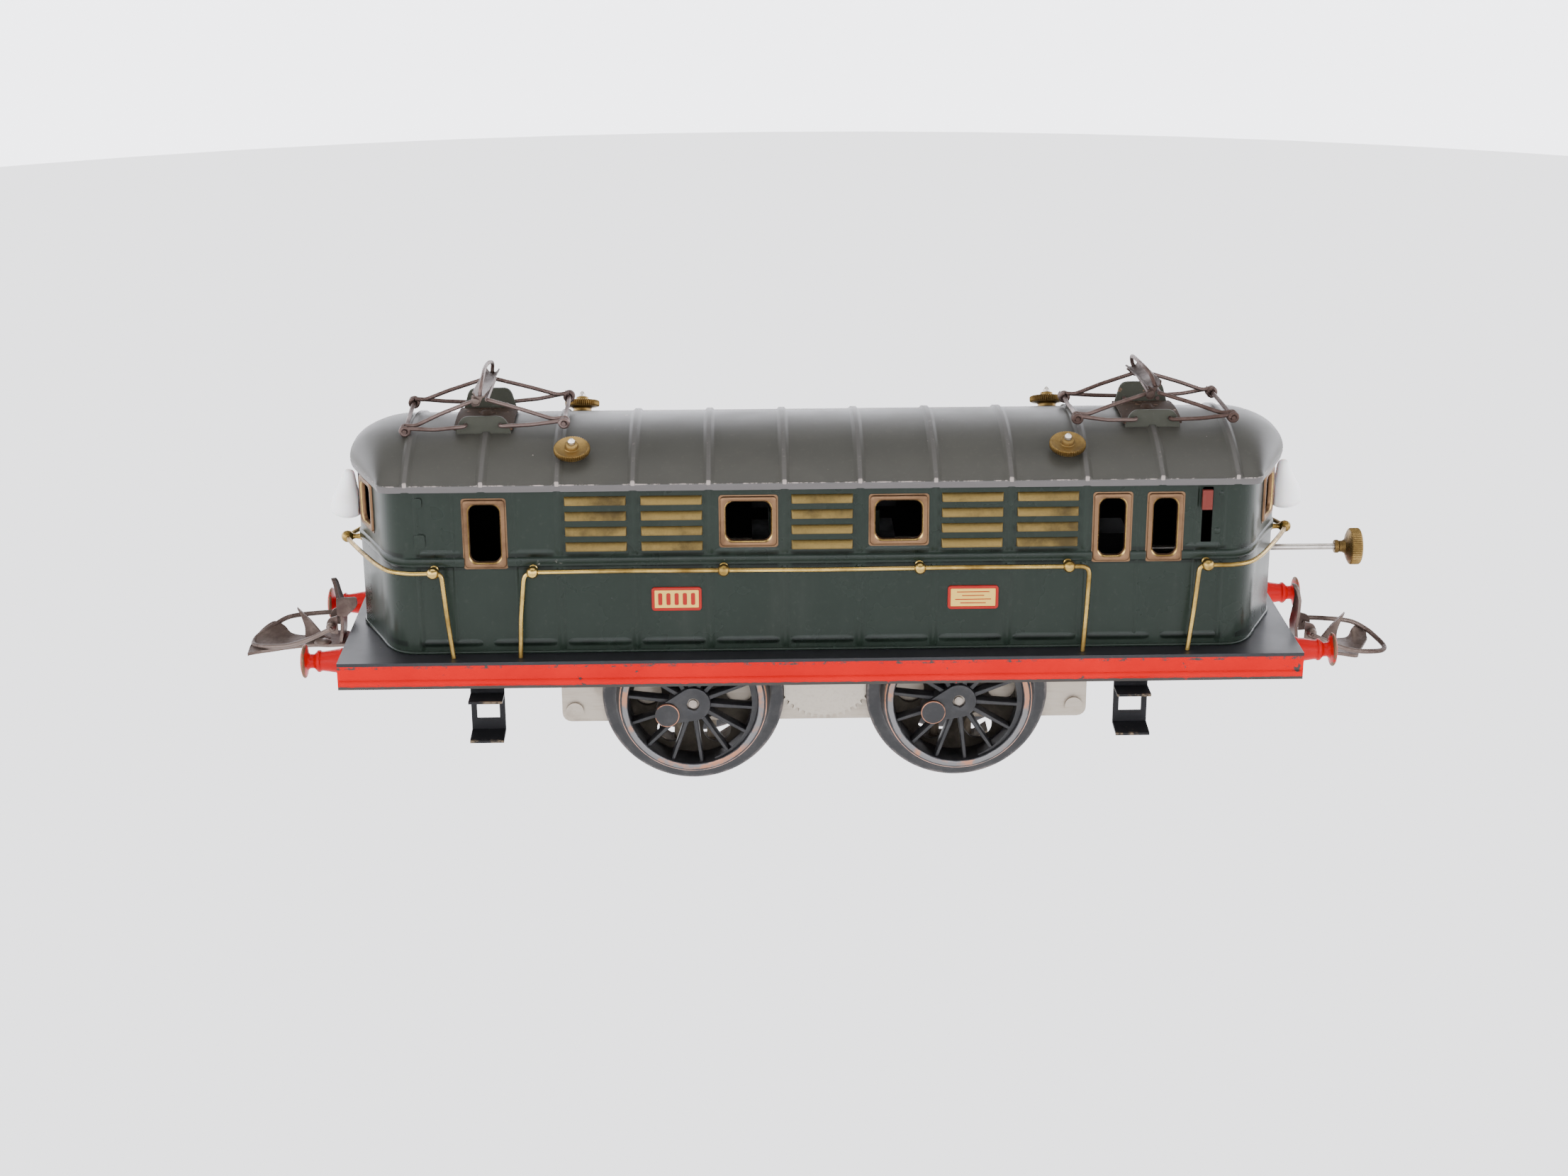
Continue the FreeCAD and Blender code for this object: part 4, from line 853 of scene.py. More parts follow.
def roof_grid(drop=0.0, lift=0.5, half=27.4):
    """Roof surface as a grid, with the indices of its border."""
    ys = [half * math.sin(math.pi / 2 * (i / 24)) for i in range(-24, 25)]
    xs = [rx + d for rx in RIBS for d in (-1.5, -1.08, -0.62, -0.3, 0, 0.3, 0.62, 1.08, 1.5)]
    xs += [rx + RIB_PITCH / 2 for rx in RIBS[:-1]]
    xs = sorted(x for x in xs if abs(x) < ROOF_FLAT - 0.1)
    ends = [math.sin(math.pi / 2 * i / 14) for i in range(15)]
    rows = []
    for y in ys:
        tip = [ROOF_FLAT + (roof_end_x(y) - ROOF_FLAT) * t for t in ends]
        row = [-x for x in reversed(tip)] + xs + tip
        rows.append([(x, y, roof_height(x, y, lift) - drop) for x in row])
    return *joined(rows, closed=False), grid_edge(len(ys), len(rows[0]))


def build_roof():
    verts, faces, border = roof_grid()
    lip = [(0.22, -0.12), (0.34, -0.55), (0.20, -1.1), (0.05, -1.8), (-0.45, -1.85), (-0.6, -1.2)]
    n = len(border)
    last = border
    for out, down in lip:
        ring = []
        for i, index in enumerate(border):
            a, b = (Vector(verts[k][:2]) for k in (border[i - 1], border[(i + 1) % n]))
            d = (b - a).normalized() * (out - 0.34)
            x, y, z = verts[index]
            ring.append(len(verts))
            verts.append((x + d.y, y - d.x, EAVE + min(z - EAVE, 0.15) + down))
        faces += [(last[i], last[(i + 1) % n], ring[(i + 1) % n], ring[i]) for i in range(n)]
        last = ring
    under, under_faces, _ = roof_grid(drop=0.75, lift=0.0, half=26.9)
    lining = ([(v[0] * 0.995, v[1], v[2]) for v in under], [f[::-1] for f in under_faces])
    add("roof_skin", [(verts, faces), lining], GREY, hides="roof_shell", angle=60)


# ---- hand rails ---------------------------------------------------------
def stanchion(ball, out, reach):
    """Turned knob: foot on the wall, waist, ball through which the rail runs."""
    profile = [(1.0, 0.0), (1.0, 0.25), (0.68, 0.5), (0.58, reach * 0.45), (0.70, reach - 1.35),
               (1.05, reach - 1.1), (1.34, reach - 0.65), (1.46, reach), (1.34, reach + 0.62),
               (0.96, reach + 1.15), (0.45, reach + 1.4), (0.0, reach + 1.46)]
    base = Vector(ball) - Vector(out).normalized() * reach
    return lathe_mesh(rounded_profile(profile, 0.15, 2), base, out, 28)


def build_rails():
    y = RAIL_Y
    z = RAIL_Z
    path = bent([(-69.7, y, 36.6), (-69.3, y, 46.0), (-68.1, y, z), (-45.0, y, z + 0.15),
                 (0.0, y, z - 0.1), (30.0, y, z + 0.1), (61.75, y, z), (61.4, y, 48.0),
                 (60.8, y, 36.6)], 2.2)
    parts = [tube_mesh(path, WIRE)]
    parts += [stanchion((x, y, z), (0, -1, 0), 3.0) for x in (-66.2, -22.4, 22.7, 57.0)]
    add("handrails_main", both(parts), BRASS, hides="main_handrails", angle=60)
    flat = [(88.6, -28.4), (95.0, -28.3), (99.3, -26.2), (102.6, -21.8), (106.0, -15.4),
            (109.3, -8.6), (111.6, -3.4), (112.7, 0.0)]
    leg = bent([(85.2, y, 36.6), (86.2, y, 46.0), (87.1, y, z), (90.5, y, z)], 2.2)
    half = leg[:-1] + catmull([(fx, fy, z) for fx, fy in flat], 6)
    other = [Vector((p[0], -p[1], p[2])) for p in reversed(half[:-1])]
    parts = [tube_mesh(half + other, WIRE)]
    parts += [stanchion((89.0, sy * 28.4, z), (0, sy, 0), 3.0) for sy in (-1, 1)]
    parts.append(stanchion((112.7, 0, z), (1, 0, 0), 3.5))
    add("handrails_corner", both(parts), BRASS, hides="corner_handrails", angle=60)


# ---- small turned parts -------------------------------------------------
def build_buffers():
    profile = [(0.0, 0.0), (3.1, 0.0), (3.15, 0.5), (2.95, 0.9), (2.5, 3.6), (2.32, 4.9),
               (2.35, 5.3), (2.62, 5.5), (2.62, 6.05), (2.3, 6.35), (1.72, 6.9), (1.68, 7.9),
               (2.2, 8.5), (3.5, 8.75), (3.98, 8.95), (4.0, 9.3), (3.6, 9.62), (2.4, 9.95),
               (1.2, 10.12), (0.0, 10.18)]
    prof = rounded_profile(profile, 0.2, 2)
    for side, s in ENDS:
        parts = [lathe_mesh(prof, (s * 112.0, sy * 20.3, 33.2), (s, 0, 0), 56) for sy in (-1, 1)]
        add("buffer_pair_" + side, parts, BUFFER_RED, hides="buffers_" + side,
            angle=50)


def build_nuts():
    lean = math.asin(NUT_Y / ROOF_R)
    profile = [(0.9, 0.12), (2.2, 0.12), (2.3, 0.25), (2.2, 0.9), (2.6, 1.2), (3.7, 1.4),
               (4.05, 1.55), (4.2, 1.72), (4.2, 2.55), (4.08, 2.75), (3.8, 2.86), (3.5, 2.80),
               (2.6, 2.62), (1.75, 2.58), (1.58, 2.72), (1.52, 3.55), (1.42, 3.78), (1.2, 3.88),
               (0.86, 3.88), (0.84, 3.4)]
    knurl = ({6, 7, 8, 9}, 46, 0.40)
    for end, sx in ENDS:
        for side, sy in (("near", -1), ("far", 1)):
            axis = (0, sy * math.sin(lean), math.cos(lean))
            base = (sx * NUT_X, sy * NUT_Y, barrel(NUT_Y))
            name = "nut_%s_%s" % (end, side)
            add(name, [lathe_mesh(profile, base, axis, 322, knurl)], AGED,
                body=name, hides="thumb_" + name, angle=28)


def wire_ring(centre, radius, wire, pitch=0.95, start=0.0, turns=1.15):
    """Coiled eye at the end of a wire."""
    u, v, w = basis((0, 1, 0))
    steps = int(28 * turns)
    path = []
    for i in range(steps + 1):
        t = turns * i / steps
        a = 2 * math.pi * t + start
        path.append(Vector(centre) + (u * math.cos(a) + v * math.sin(a)) * radius
                    + w * (pitch * (t - turns / 2)))
    return tube_mesh(path, wire, 12)


def build_knob():
    profile = [(0.78, 0.0), (1.5, 0.0), (1.62, 0.25), (1.62, 0.85), (1.38, 1.15), (1.42, 1.9),
               (1.75, 2.5), (2.4, 2.9), (3.3, 3.15), (4.0, 3.5), (4.3, 3.7), (4.42, 3.95),
               (4.42, 5.75), (4.3, 5.98), (4.05, 6.15), (3.2, 6.0), (0.0, 5.95)]
    part = lathe_mesh(profile, (125.0, 0, ROD_Z), (1, 0, 0), 336, ({10, 11, 12, 13}, 56, 0.16))
    add("reverser_knob_turned", [part], AGED, body="reverser",
        hides="reverser_knob", angle=28)


def build_lamps():
    profile = [(0.0, 0.0), (0.7, 0.1), (1.2, 0.5), (1.6, 1.5), (1.95, 3.0), (2.6, 5.0),
               (3.4, 6.9), (3.9, 8.6), (4.02, 9.6), (3.7, 10.7), (2.8, 11.4), (1.5, 11.8),
               (0.0, 11.9)]
    prof = rounded_profile(profile, 0.5, 3)
    for side, s in ENDS:
        verts, faces = lathe_mesh(prof, (s * 111.3, 0, 74.2), (s * 0.12, 0, -1), 56)
        # flattened where it would run into the cab end
        verts = [Vector((s * max(s * v[0], FACET[1][0] + 0.05), v[1], v[2])) for v in verts]
        add("headlamp_glass_" + side, [(verts, faces)], LAMP,
            hides="headlamp_" + side, angle=60)


# ---- wheels -------------------------------------------------------------
def wheel_rim():
    profile = [(15.3, 7.2), (15.35, 0.5), (15.5, 0.12), (15.75, 0.0), (16.75, 0.0), (16.95, 0.10),
               (17.05, 0.40), (17.35, 0.55), (17.5, 0.75), (17.6, 1.1), (18.25, 4.7), (18.55, 5.3),
               (19.3, 5.75), (20.8, 6.05), (21.45, 6.3), (21.7, 6.7), (21.5, 7.05), (21.0, 7.2)]
    rings = [[(r * math.cos(a), d - 21.5, r * math.sin(a)) for a in turns(144)]
             for r, d in profile]
    return joined(rings, wrap=True)


def wheel_web():
    """Tear-shaped web round the hub and crank pin, with the axle hole in it."""
    reach = math.hypot(*PIN)
    heading = math.atan2(PIN[1], PIN[0])
    spread = math.acos((4.2 - 2.7) / reach)
    outline = []
    for i in range(49):
        a = heading + spread + (2 * math.pi - 2 * spread) * i / 48
        outline.append(Vector((4.2 * math.cos(a), 4.2 * math.sin(a))))
    for i in range(1, 24):
        a = heading - spread + 2 * spread * i / 24
        outline.append(Vector((PIN[0] + 2.7 * math.cos(a), PIN[1] + 2.7 * math.sin(a))))

    def ring(inset, y, bore=None):
        spots = [p.normalized() * (bore or p.length - inset) for p in outline]
        return [(q.x, y, q.y) for q in spots]
    rings = [ring(0, -18.0), ring(0, -21.75), ring(0.12, -22.0), ring(0.4, -22.1),
             ring(0, -22.1, 1.7), ring(0, -22.0, 1.55), ring(0, -20.6, 1.5), ring(0, -20.5, 0.6),
             ring(0, -18.0, 0.6)]
    return joined(rings, wrap=True)


def wheel_spoke(angle):
    """Spoke with a flat front face, soft front edges and a light taper."""
    c = math.cos(angle)
    v = math.sin(angle)
    verts = []
    for r, half, front in ((3.4, 0.62, -21.2), (9.0, 0.50, -20.9), (15.5, 0.46, -20.5)):
        for side, y in ((-half, front + 3.2), (-half, front + 0.22), (-half + 0.16, front),
                        (half - 0.16, front), (half, front + 0.22), (half, front + 3.2)):
            verts.append((r * c - side * v, y, r * v + side * c))
    return verts, capped(3, 6)


def wheel_weight():
    """Thin crescent cast inside the rim, opposite the crank pin."""
    away = math.atan2(-PIN[1], -PIN[0])
    outer = []
    inner = []
    for i in range(-20, 21):
        a = math.radians(i * 4.6)
        outer.append((15.45 * math.cos(a + away), 15.45 * math.sin(a + away)))
        reach = 15.0 - 1.1 * math.cos(a)
        inner.append((reach * math.cos(a + away), reach * math.sin(a + away)))
    return slab(outer + inner[::-1], -20.6, -17.0)


def build_wheels():
    pin = lathe_mesh(rounded_profile([(2.0, 0.0), (2.9, 0.0), (2.9, 1.15), (0.0, 1.2)], 0.2, 3),
                     (PIN[0], -21.9, PIN[1]), (0, -1, 0), 56)
    parts = [wheel_rim(), wheel_web(), pin, wheel_weight()]
    parts += [wheel_spoke(-math.radians(i * 360 / 14 + 6)) for i in range(14)]
    near_wheel = merge(parts)
    for i, cx in AXLES:
        mat = wheel_paint("wheel_paint_" + i, cx, AXLE_Z)
        place = Matrix.Translation((cx, 0, AXLE_Z))
        for side, part in (("near", near_wheel), ("far", flipped_y(near_wheel))):
            name = "%s_%s" % (side, i)
            add("wheel_cast_" + name, [move(part, place)], mat,
                body="wheelset_" + i, hides="wheel_" + name, angle=38)


# ---- pantographs --------------------------------------------------------
PANTO_X = 78.0
PANTO_BASE = (4.0, 87.3)
PANTO_KNEE = (18.5, 87.7)
PANTO_HEAD = (1.2, 93.4)
ARM_WIRE = 0.48
EAR_Y = 9.2
ARM_Y = 11.0
TILT = {"left": 3.0, "right": -23.0}
SKEW = {"left": 0.8, "right": -1.8}
# how far the knees sit from their drawn place: (near dx, near dz), (far dx, far dz)
KNEES = {("left", -1): ((0.5, -1.4), (0.2, 0.0)), ("left", 1): ((0.4, 0.2), (0.3, 1.1)),
         ("right", -1): ((0.7, 0.0), (0.2, -0.3)), ("right", 1): ((0.0, 0.0), (-1.3, 0.6))}


def side_placer(cx, s):
    """Turns (dx, y, z) of a +X arm into its place, with that side's bent knees."""
    (near_x, near_z), (far_x, far_z) = KNEES[("left" if cx < 0 else "right", s)]

    def place(dx, y, z):
        w = clamp((dx - PANTO_BASE[0]) / (PANTO_KNEE[0] - PANTO_BASE[0]))
        t = clamp((y + ARM_Y) / (2 * ARM_Y))
        return Vector((cx + s * dx + w * (near_x + (far_x - near_x) * t), y,
                       z + w * (near_z + (far_z - near_z) * t)))
    return place


def lower_frame(cx, s, sag):
    """Two bent side wires from the ears, each coiled round the knee rod."""
    at = side_placer(cx, s)
    bx, bz = PANTO_BASE
    kx, kz = PANTO_KNEE
    parts = []
    for sy in (-1, 1):
        middle = ((bx + kx) / 2, sy * (ARM_Y + 0.1), (bz + kz) / 2 + sag * sy)
        path = bent([at(bx, sy * (EAR_Y - 1.0), bz), at(bx, sy * ARM_Y, bz), at(*middle),
                     at(kx - 0.9, sy * ARM_Y, kz + 0.55)], 1.1)
        parts.append(tube_mesh(path, ARM_WIRE))
        parts.append(wire_ring(at(kx, sy * ARM_Y, kz), 0.95, 0.46))
    rod = [at(kx, -ARM_Y - 0.75, kz), at(kx, -4.0, kz + 0.05), at(kx + 0.1, 4.0, kz - 0.05),
           at(kx, ARM_Y + 0.75, kz)]
    parts.append(tube_mesh(catmull(rod, 6), 0.5))
    return parts


def upper_frame(cx, s, rod_half):
    """Two side wires coiled round the knee rod and joined by the head rod."""
    at = side_placer(cx, s)
    kx, kz = PANTO_KNEE
    hx, hz = PANTO_HEAD
    parts = []
    for sy in (-1, 1):
        y = sy * (ARM_Y - 1.25)
        path = bent([at(kx - 0.3, y, kz + 0.95), at(kx - 2.6, y, kz + 0.72),
                     at((kx + hx) / 2, y + 0.1 * sy, (kz + hz) / 2 + 0.1), at(hx, y, hz),
                     at(hx, y - sy * 1.4, hz)], 1.0)
        parts.append(tube_mesh(path, ARM_WIRE))
        parts.append(wire_ring(at(kx, y, kz), 0.95, 0.46, pitch=-0.9, start=0.6))
    parts.append(tube_mesh([at(hx, y, hz) for y in (-rod_half, 0, rod_half)], 0.47))
    return parts


def shoe_parts(cx):
    """Folded trough with hanging cheeks and the bow wire."""
    section = [(-1.7, 95.62), (-1.5, 95.55), (-1.15, 94.95), (-0.9, 94.72), (0.9, 94.72),
               (1.2, 94.95), (1.6, 95.6), (1.8, 95.5), (1.4, 94.7), (1.1, 94.4), (-1.0, 94.4),
               (-1.35, 94.65), (-1.8, 95.45)]
    verts = []
    stations = (-11.75, -11.5, -8.0, -3.0, 3.0, 8.0, 11.5, 11.75)
    for y in stations:
        pinch = 0.86 if abs(y) > 11.6 else 1.0
        verts += [(cx + dx * pinch, y, 94.9 + (z - 94.9) * pinch) for dx, z in section]
    trough = (verts, capped(len(stations), len(section)))
    rod = cx - PANTO_HEAD[0]
    cheek = [(rod - 0.7, 94.75), (rod - 1.1, 93.2), (rod - 0.8, 92.4), (rod, 92.15),
             (rod + 0.8, 92.4), (rod + 1.2, 93.4), (rod + 2.1, 94.75)]
    cheeks = []
    for sy in (-1, 1):
        cheeks.append(slab(cheek, sy * 11.15 - 0.22, sy * 11.15 + 0.22))
        cheeks.append(lathe_mesh([(0.95, 0.0), (0.95, 0.2), (0.7, 0.42), (0.0, 0.5)],
                                 (rod, sy * 11.35, PANTO_HEAD[1]), (0, sy, 0), 20))
    bow = [(cx, -10.9, 94.8), (cx, -10.95, 95.6)]
    for i in range(1, 20):
        a = math.radians(180 - 9 * i)
        bow.append((cx + 0.15 * math.sin(3 * a), 10.9 * math.cos(a),
                    95.5 + 3.5 * math.sin(a) ** 0.85))
    bow += [(cx, 10.95, 95.6), (cx, 10.9, 94.8)]
    return trough, merge(cheeks), tube_mesh(bow, 0.45)


def skewed(part, amount):
    """Shifts the far end of the shoe along X, with its cheeks kept on the rod."""
    verts = []
    for x, y, z in part[0]:
        t = clamp((y + 11.0) / 22.0) - 0.35
        w = clamp((z - PANTO_HEAD[1]) / 1.2)
        verts.append(Vector((x + amount * t * w, y, z)))
    return verts, part[1]


def ear(cx, y0, y1, top):
    """Trapezoid ear with rounded top corners."""
    outline = bent([(cx - 6.7, 83.6, 0), (cx - 6.4, 86.0, 0), (cx - 4.9, top, 0),
                    (cx + 4.9, top, 0), (cx + 6.4, 86.0, 0), (cx + 6.7, 83.6, 0)], 1.7, 6)
    return slab(outline, y0, y1)


def bracket(cx):
    """Base strip of the U bracket, curved over the roof, with its rivet."""
    cols = 20
    half = 9.3
    verts = []
    for lift in (0.72, 1.25):
        for x in (cx - 6.85, cx + 6.85):
            for i in range(cols + 1):
                y = half * (2 * i / cols - 1)
                verts.append((x, y, barrel(y) + lift))
    row = cols + 1
    faces = [(0, row, 3 * row, 2 * row), (cols, 2 * row + cols, 3 * row + cols, row + cols)]
    for i in range(cols):
        for a, b in ((0, 1), (3, 2), (2, 0), (1, 3)):
            faces.append((a * row + i, a * row + i + 1, b * row + i + 1, b * row + i))
    rivet = lathe_mesh([(1.5, 0.0), (1.5, 0.25), (1.2, 0.7), (0.6, 0.95), (0.0, 1.0)],
                       (cx, 0, CROWN + 1.2), (0, 0, 1), 24)
    return [(verts, faces), rivet]


def build_pantographs():
    for end, s in ENDS:
        cx = s * PANTO_X
        ears = [ear(cx, sy * EAR_Y - 0.4, sy * EAR_Y + 0.4, 90.3 + sy) for sy in (-1, 1)]
        add("panto_ears_" + end, ears, EAR_GREY, hides="panto_base_" + end,
            bevel=0.18, angle=40)
        add("panto_bracket_" + end, bracket(cx), RUSTY, angle=40)
        for name, parts in (("lower_a_", lower_frame(cx, -1, 0.12)),
                            ("lower_b_", lower_frame(cx, 1, -0.08)),
                            ("upper_a_", upper_frame(cx, -1, 11.45)),
                            ("upper_b_", upper_frame(cx, 1, 9.9))):
            body = "panto_" + name + end
            add("panto_wires_" + name + end, parts, IRON, body=body, hides=body,
                angle=60)
        pivot = Vector((cx - PANTO_HEAD[0], 0, PANTO_HEAD[1]))
        lean = (Matrix.Translation(pivot) @ Matrix.Rotation(math.radians(TILT[end]), 4, "Y")
                @ Matrix.Translation(-pivot))
        trough, cheeks, bow = [[move(skewed(p, SKEW[end]), lean)] for p in shoe_parts(cx)]
        head = "panto_head_" + end
        add("panto_trough_" + end, trough, SHOE, body=head,
            hides="panto_shoe_" + end, angle=40)
        add("panto_cheeks_" + end, cheeks, SHOE, body=head, bevel=0.08)
        add("panto_bow_" + end, bow, IRON, body=head, angle=60)


# ---- couplers -----------------------------------------------------------
def hook_plate(stations, thick=0.8, cols=8):
    """Formed plate from stations (x, near y, far y, near z, far z, far curl)."""
    near_edge, far_edge = [catmull([(st[0], st[k], st[k + 2]) for st in stations], 5)
                           for k in (1, 2)]
    curl = catmull([(st[0], st[5], 0) for st in stations], 5)
    verts = []
    for up in (0.0, thick):
        for a, b, c in zip(near_edge, far_edge, curl):
            for k in range(cols + 1):
                t = k / cols
                p = a.lerp(b, t)
                verts.append((p.x, p.y, p.z + c.y * t ** 3 + up))
    return verts, plate_faces(len(curl), cols + 1)


def tongue(s, y0, lean):
    """Upright leaf with a slight outward bow, leaning at its tip."""
    shape = ((28.6, 3.4), (31.0, 3.3), (34.5, 3.1), (38.0, 2.8), (41.0, 2.3), (43.4, 1.7),
             (44.5, 1.1), (44.7, 0.4))
    cols = 6
    verts = []
    for thick in (0.75, 0.0):
        for (z, half), dx in zip(shape, lean):
            for k in range(cols + 1):
                t = 2 * k / cols - 1
                verts.append((s * (117.4 + dx - 0.35 * t * t - thick), y0 + t * half, z))
    return verts, plate_faces(len(shape), cols + 1)


TONGUE_LEAN = {1: (-0.4, -1.4, -1.7, -1.2, -1.0, -1.5, -2.2, -2.5),
               -1: (0.0, -0.5, -0.75, -0.5, 0.2, 0.6, 1.0, 1.1)}
FLAT_Z = 28.4
ROOT = [(x, a, b, FLAT_Z, FLAT_Z, 0.0) for x, a, b in (
    (101.3, -6.7, -5.3), (102.1, -8.9, -3.1), (105.0, -10.0, -2.0), (113.5, -10.0, -2.0),
    (116.5, -11.4, -1.8), (119.5, -11.6, -1.6))]
RIGHT_NOSE = [(122.5, -11.0, -1.6, 28.2, 28.4, 0.0), (126.0, -11.2, -1.6, 28.0, 28.3, 0.0),
              (129.4, -11.8, -1.2, 27.7, 28.2, 0.2), (130.6, -9.2, -0.6, 27.8, 28.3, 2.0),
              (131.8, -6.8, -0.1, 27.9, 28.4, 2.7), (133.2, -3.9, 0.0, 28.0, 28.5, 2.1),
              (134.4, -1.6, 0.0, 28.3, 28.6, 1.5)]
LEFT_NOSE = [(-122.5, 2.2, 10.0, 28.3, 28.4, 0.0), (-126.0, 2.2, 8.4, 28.1, 28.4, 0.0),
             (-129.5, 1.7, 8.8, 27.9, 28.5, 0.4), (-131.5, 1.1, 10.6, 27.8, 28.6, 1.6),
             (-134.0, 0.6, 11.8, 27.6, 28.7, 2.3), (-136.4, 0.3, 10.8, 27.4, 28.4, 1.6),
             (-138.2, 0.2, 7.8, 27.1, 27.8, 0.8), (-139.0, 0.1, 3.4, 26.9, 27.2, 0.2)]
FIN_UP = ((118.6, 28.9), (121.0, 29.9), (122.6, 31.9), (124.3, 34.2), (127.2, 37.3))
FIN_DOWN = ((127.2, 37.2), (126.2, 34.6), (125.6, 32.0), (125.8, 28.9))
LUG = ((117.0, 31.6), (119.2, 31.8), (119.9, 33.8), (119.2, 35.6), (117.0, 36.2))
FLAP = ((116.9, 36.4), (116.9, 41.0), (111.9, 41.2), (111.8, 39.0), (114.6, 36.2))
LOOP_TIP = {1: 137.4, -1: 138.4}
LOOP_AXIS = (118.4, 33.8)
KNOB = [(0.0, -1.25), (0.6, -1.1), (1.1, -0.55), (1.25, 0.0), (1.1, 0.55), (0.6, 1.1),
        (0.0, 1.25)]


def upright(s, line, y0, y1):
    """Plate standing along Y from a line in X and Z, for end s."""
    return slab([(s * p.x, p.y) for p in line], y0, y1)


def hook_parts(s, y0):
    if s > 0:
        stations = ROOT + RIGHT_NOSE
    else:
        stations = [(-x, -b, -a, za, zb, c) for x, a, b, za, zb, c in ROOT] + LEFT_NOSE
    fin = catmull(FIN_UP, 6) + catmull(FIN_DOWN, 6)[1:]
    parts = [hook_plate(stations), upright(s, fin, y0 - 0.5, y0 + 0.5),
             tongue(s, y0, TONGUE_LEAN[s])]
    for sy in (-1, 1):
        parts.append(upright(s, bent(LUG, 0.9, 4), y0 + sy * 3.4 - 0.3, y0 + sy * 3.4 + 0.3))
    if s < 0:
        parts.append(upright(s, bent(FLAP, 0.7, 4), y0 - 4.3, y0 - 3.6))
    parts.append(lathe_mesh([(2.1, 0.0), (2.1, 0.4), (1.5, 0.9), (0.0, 1.0)],
                            (s * 121.0, y0 + s * 3.0, 29.0), (0, 0, 1), 24))
    return parts


def loop_parts(s, y0):
    tip = LOOP_TIP[s]
    ax, az = LOOP_AXIS
    wire = [(ax, 6.3, az), (124.0, 6.3, 33.5), (130.3, 6.2, 32.7), (134.1, 5.0, 31.0),
            (tip - 0.9, 2.6, 29.3), (tip, 0.0, 28.5), (tip - 0.9, -2.8, 28.6),
            (134.0, -5.2, 29.1), (129.0, -6.3, 29.7), (124.0, -6.4, 31.2), (ax, -6.3, az)]
    parts = [tube_mesh(catmull([(s * x, y0 + y, z) for x, y, z in wire], 7), 0.58)]
    parts += [tube_mesh([(s * ax, y0 + sy * y, az) for y in (6.75, 4.6, 2.7)], 0.52)
              for sy in (-1, 1)]
    parts += [lathe_mesh(KNOB, (s * ax, y0 + sy * 4.8, az), (0, 1, 0), 24) for sy in (-1, 1)]
    return parts


def build_couplers():
    for end, s in ENDS:
        y0 = -6.0 * s
        add("coupler_plate_" + end, hook_parts(s, y0), COUPLER_IRON,
            body="hook_" + end, hides="coupler_hook_" + end, angle=40, bevel=0.10)
        add("coupler_wire_" + end, loop_parts(s, y0), COUPLER_IRON,
            body="loop_" + end, hides="coupler_loop_" + end, angle=60)


# ---- materials on the carried-over parts --------------------------------
# node: (material, bevel in mm)
DRESS = {"deck_plate": (BLACK, 0.12), "skirt_frame": (RED, 0.12), "footsteps": (STEP_BLACK, 0.08),
         "roof_studs": (STEEL, 0), "motor_plate_near": (TIN, 0.1), "motor_plate_far": (TIN, 0.1),
         "plate_spacers": (TIN, 0.1), "field_magnet": (DARK_IRON, 0.2), "field_coil": (COIL, 0.5),
         "armature": (DARK_IRON, 0), "brush_holders": (DARK_STEEL, 0.1), "pickup_plate": (FIBRE, 0.1),
         "idler_gear": (GEAR, 0), "reverser_rod": (STEEL, 0), "reverser_box": (INSIDE_SHADE, 0.2),
         "slot_lever": (LEVER_RED, 0.12), "coupler_pins": (STEEL, 0.1)}
# the same for nodes that come in pairs
DRESS_PAIRS = {"axle_gear_": (DARK_STEEL, 0), "axle_": (AXLE_STEEL, 0.08),
               "pickup_shoe_": (SHOE_STEEL, 0.1)}


def dress_all():
    """Materials and soft edges for the CAD nodes that stay in sight."""
    looks = dict(DRESS)
    for i, _ in AXLES:
        looks.update({stem + i: look for stem, look in DRESS_PAIRS.items()})
    for name, (mat, bevel) in looks.items():
        obj = NODES[name]
        obj.data.materials.clear()
        obj.data.materials.append(mat)
        if bevel:
            bevel_edges(obj, bevel, 30)


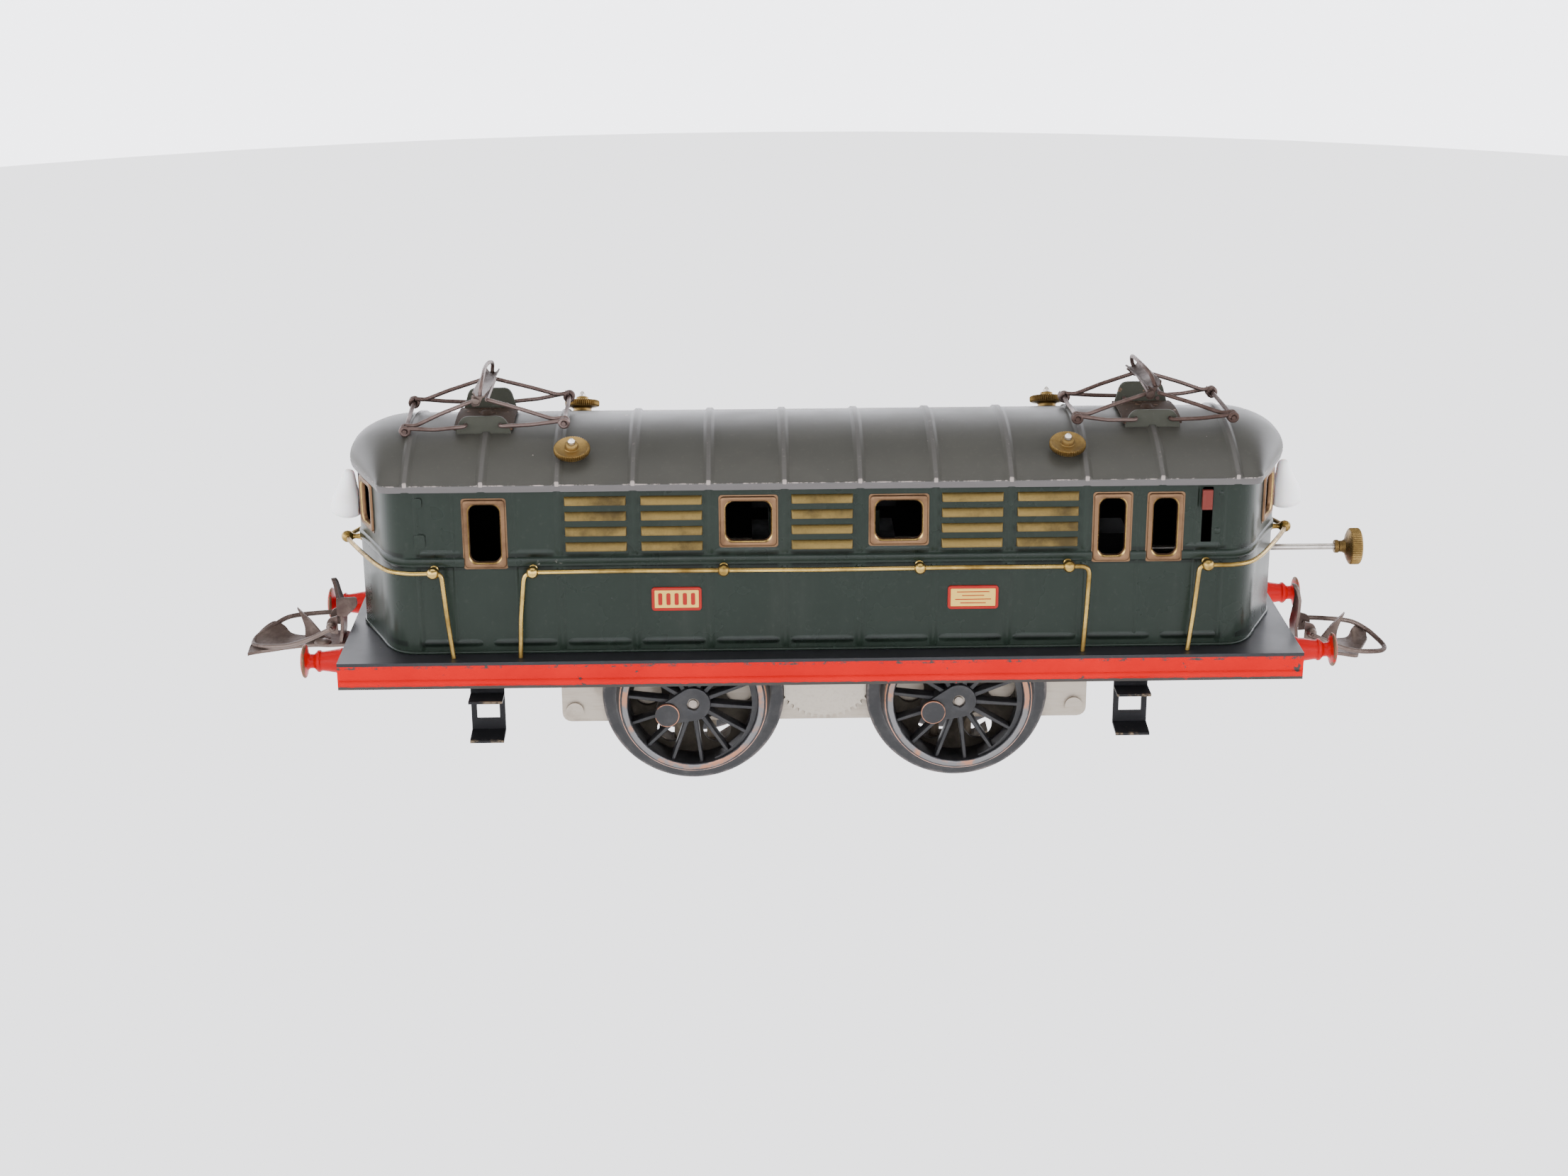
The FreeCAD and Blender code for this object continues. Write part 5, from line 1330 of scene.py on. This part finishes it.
# ---- stage --------------------------------------------------------------
def build_stage():
    """Pale disc with a round-footed wall all the way round it."""
    mat = bpy.data.materials.new("studio_white")
    mat.use_nodes = True
    bsdf = mat.node_tree.nodes["Principled BSDF"]
    bsdf.inputs["Base Color"].default_value = (0.86, 0.86, 0.90, 1)
    bsdf.inputs["Roughness"].default_value = 0.6
    bsdf.inputs["Emission Color"].default_value = (0.97, 0.97, 1.0, 1)
    bsdf.inputs["Emission Strength"].default_value = 2.6
    rows = [(1.0, 0.0), (4.0, 0.0)]
    rows += [(4.0 + math.sin(math.radians(a)), 1.0 - math.cos(math.radians(a)))
             for a in range(10, 91, 10)]
    rows += [(5.0, 2.6)]
    segs = 96
    verts, faces = joined([[(r * math.cos(a), r * math.sin(a), z) for a in turns(segs)]
                           for r, z in rows])
    mesh = bpy.data.meshes.new("studio_sweep")
    mesh.from_pydata(verts, [], [tuple(range(segs))] + faces)
    mesh.materials.append(mat)
    mesh.shade_smooth()
    link("studio_sweep", mesh)


def soft_light(name, place, target, size, power, color):
    data = bpy.data.lights.new(name, "AREA")
    data.shape = "RECTANGLE"
    data.size = size[0]
    data.size_y = size[1]
    data.energy = power
    data.color = color
    lamp = link(name, data)
    lamp.location = place
    aim = Vector(target) - Vector(place)
    lamp.rotation_euler = aim.to_track_quat("-Z", "Y").to_euler()


def build_light():
    world = bpy.data.worlds.new("studio")
    world.use_nodes = True
    back = world.node_tree.nodes["Background"]
    back.inputs[0].default_value = (0.93, 0.95, 1.0, 1)
    back.inputs[1].default_value = 0.45
    bpy.context.scene.world = world
    soft_light("overhead", (0.0, 0.05, 1.3), (0, 0, 0.04), (1.6, 1.0), 13.0, (1.0, 0.99, 0.97))
    soft_light("left_window", (-1.1, -0.55, 0.75), (0, 0, 0.06), (0.9, 0.9), 6.0, (0.96, 0.98, 1.0))
    soft_light("right_fill", (1.1, -0.7, 0.6), (0, 0, 0.06), (0.8, 0.8), 3.0, (1.0, 0.98, 0.96))


def build_camera():
    yaw = math.radians(0.9152)
    pitch = math.radians(19.277)
    roll = math.radians(-0.3443)
    forward = Vector((math.sin(yaw) * math.cos(pitch), math.cos(yaw) * math.cos(pitch),
                      -math.sin(pitch)))
    right = Vector((math.cos(yaw), -math.sin(yaw), 0))
    up = right.cross(forward)
    r = right * math.cos(roll) + up * math.sin(roll)
    u = up * math.cos(roll) - right * math.sin(roll)
    data = bpy.data.cameras.new("camera")
    data.sensor_width = 36.0
    data.sensor_fit = "HORIZONTAL"
    data.lens = 56.09
    data.clip_start = 0.01
    cam = link("camera", data)
    turn = Matrix((r, u, -forward)).transposed().to_4x4()
    cam.matrix_world = Matrix.Translation((-0.01706, -0.55884, 0.23847)) @ turn
    bpy.context.scene.camera = cam


for build in (dress_all, build_body, build_windows, build_louvres, build_plates, build_roof,
              build_rails, build_buffers, build_nuts, build_knob, build_lamps, build_wheels,
              build_pantographs, build_couplers, build_stage, build_light, build_camera):
    build()
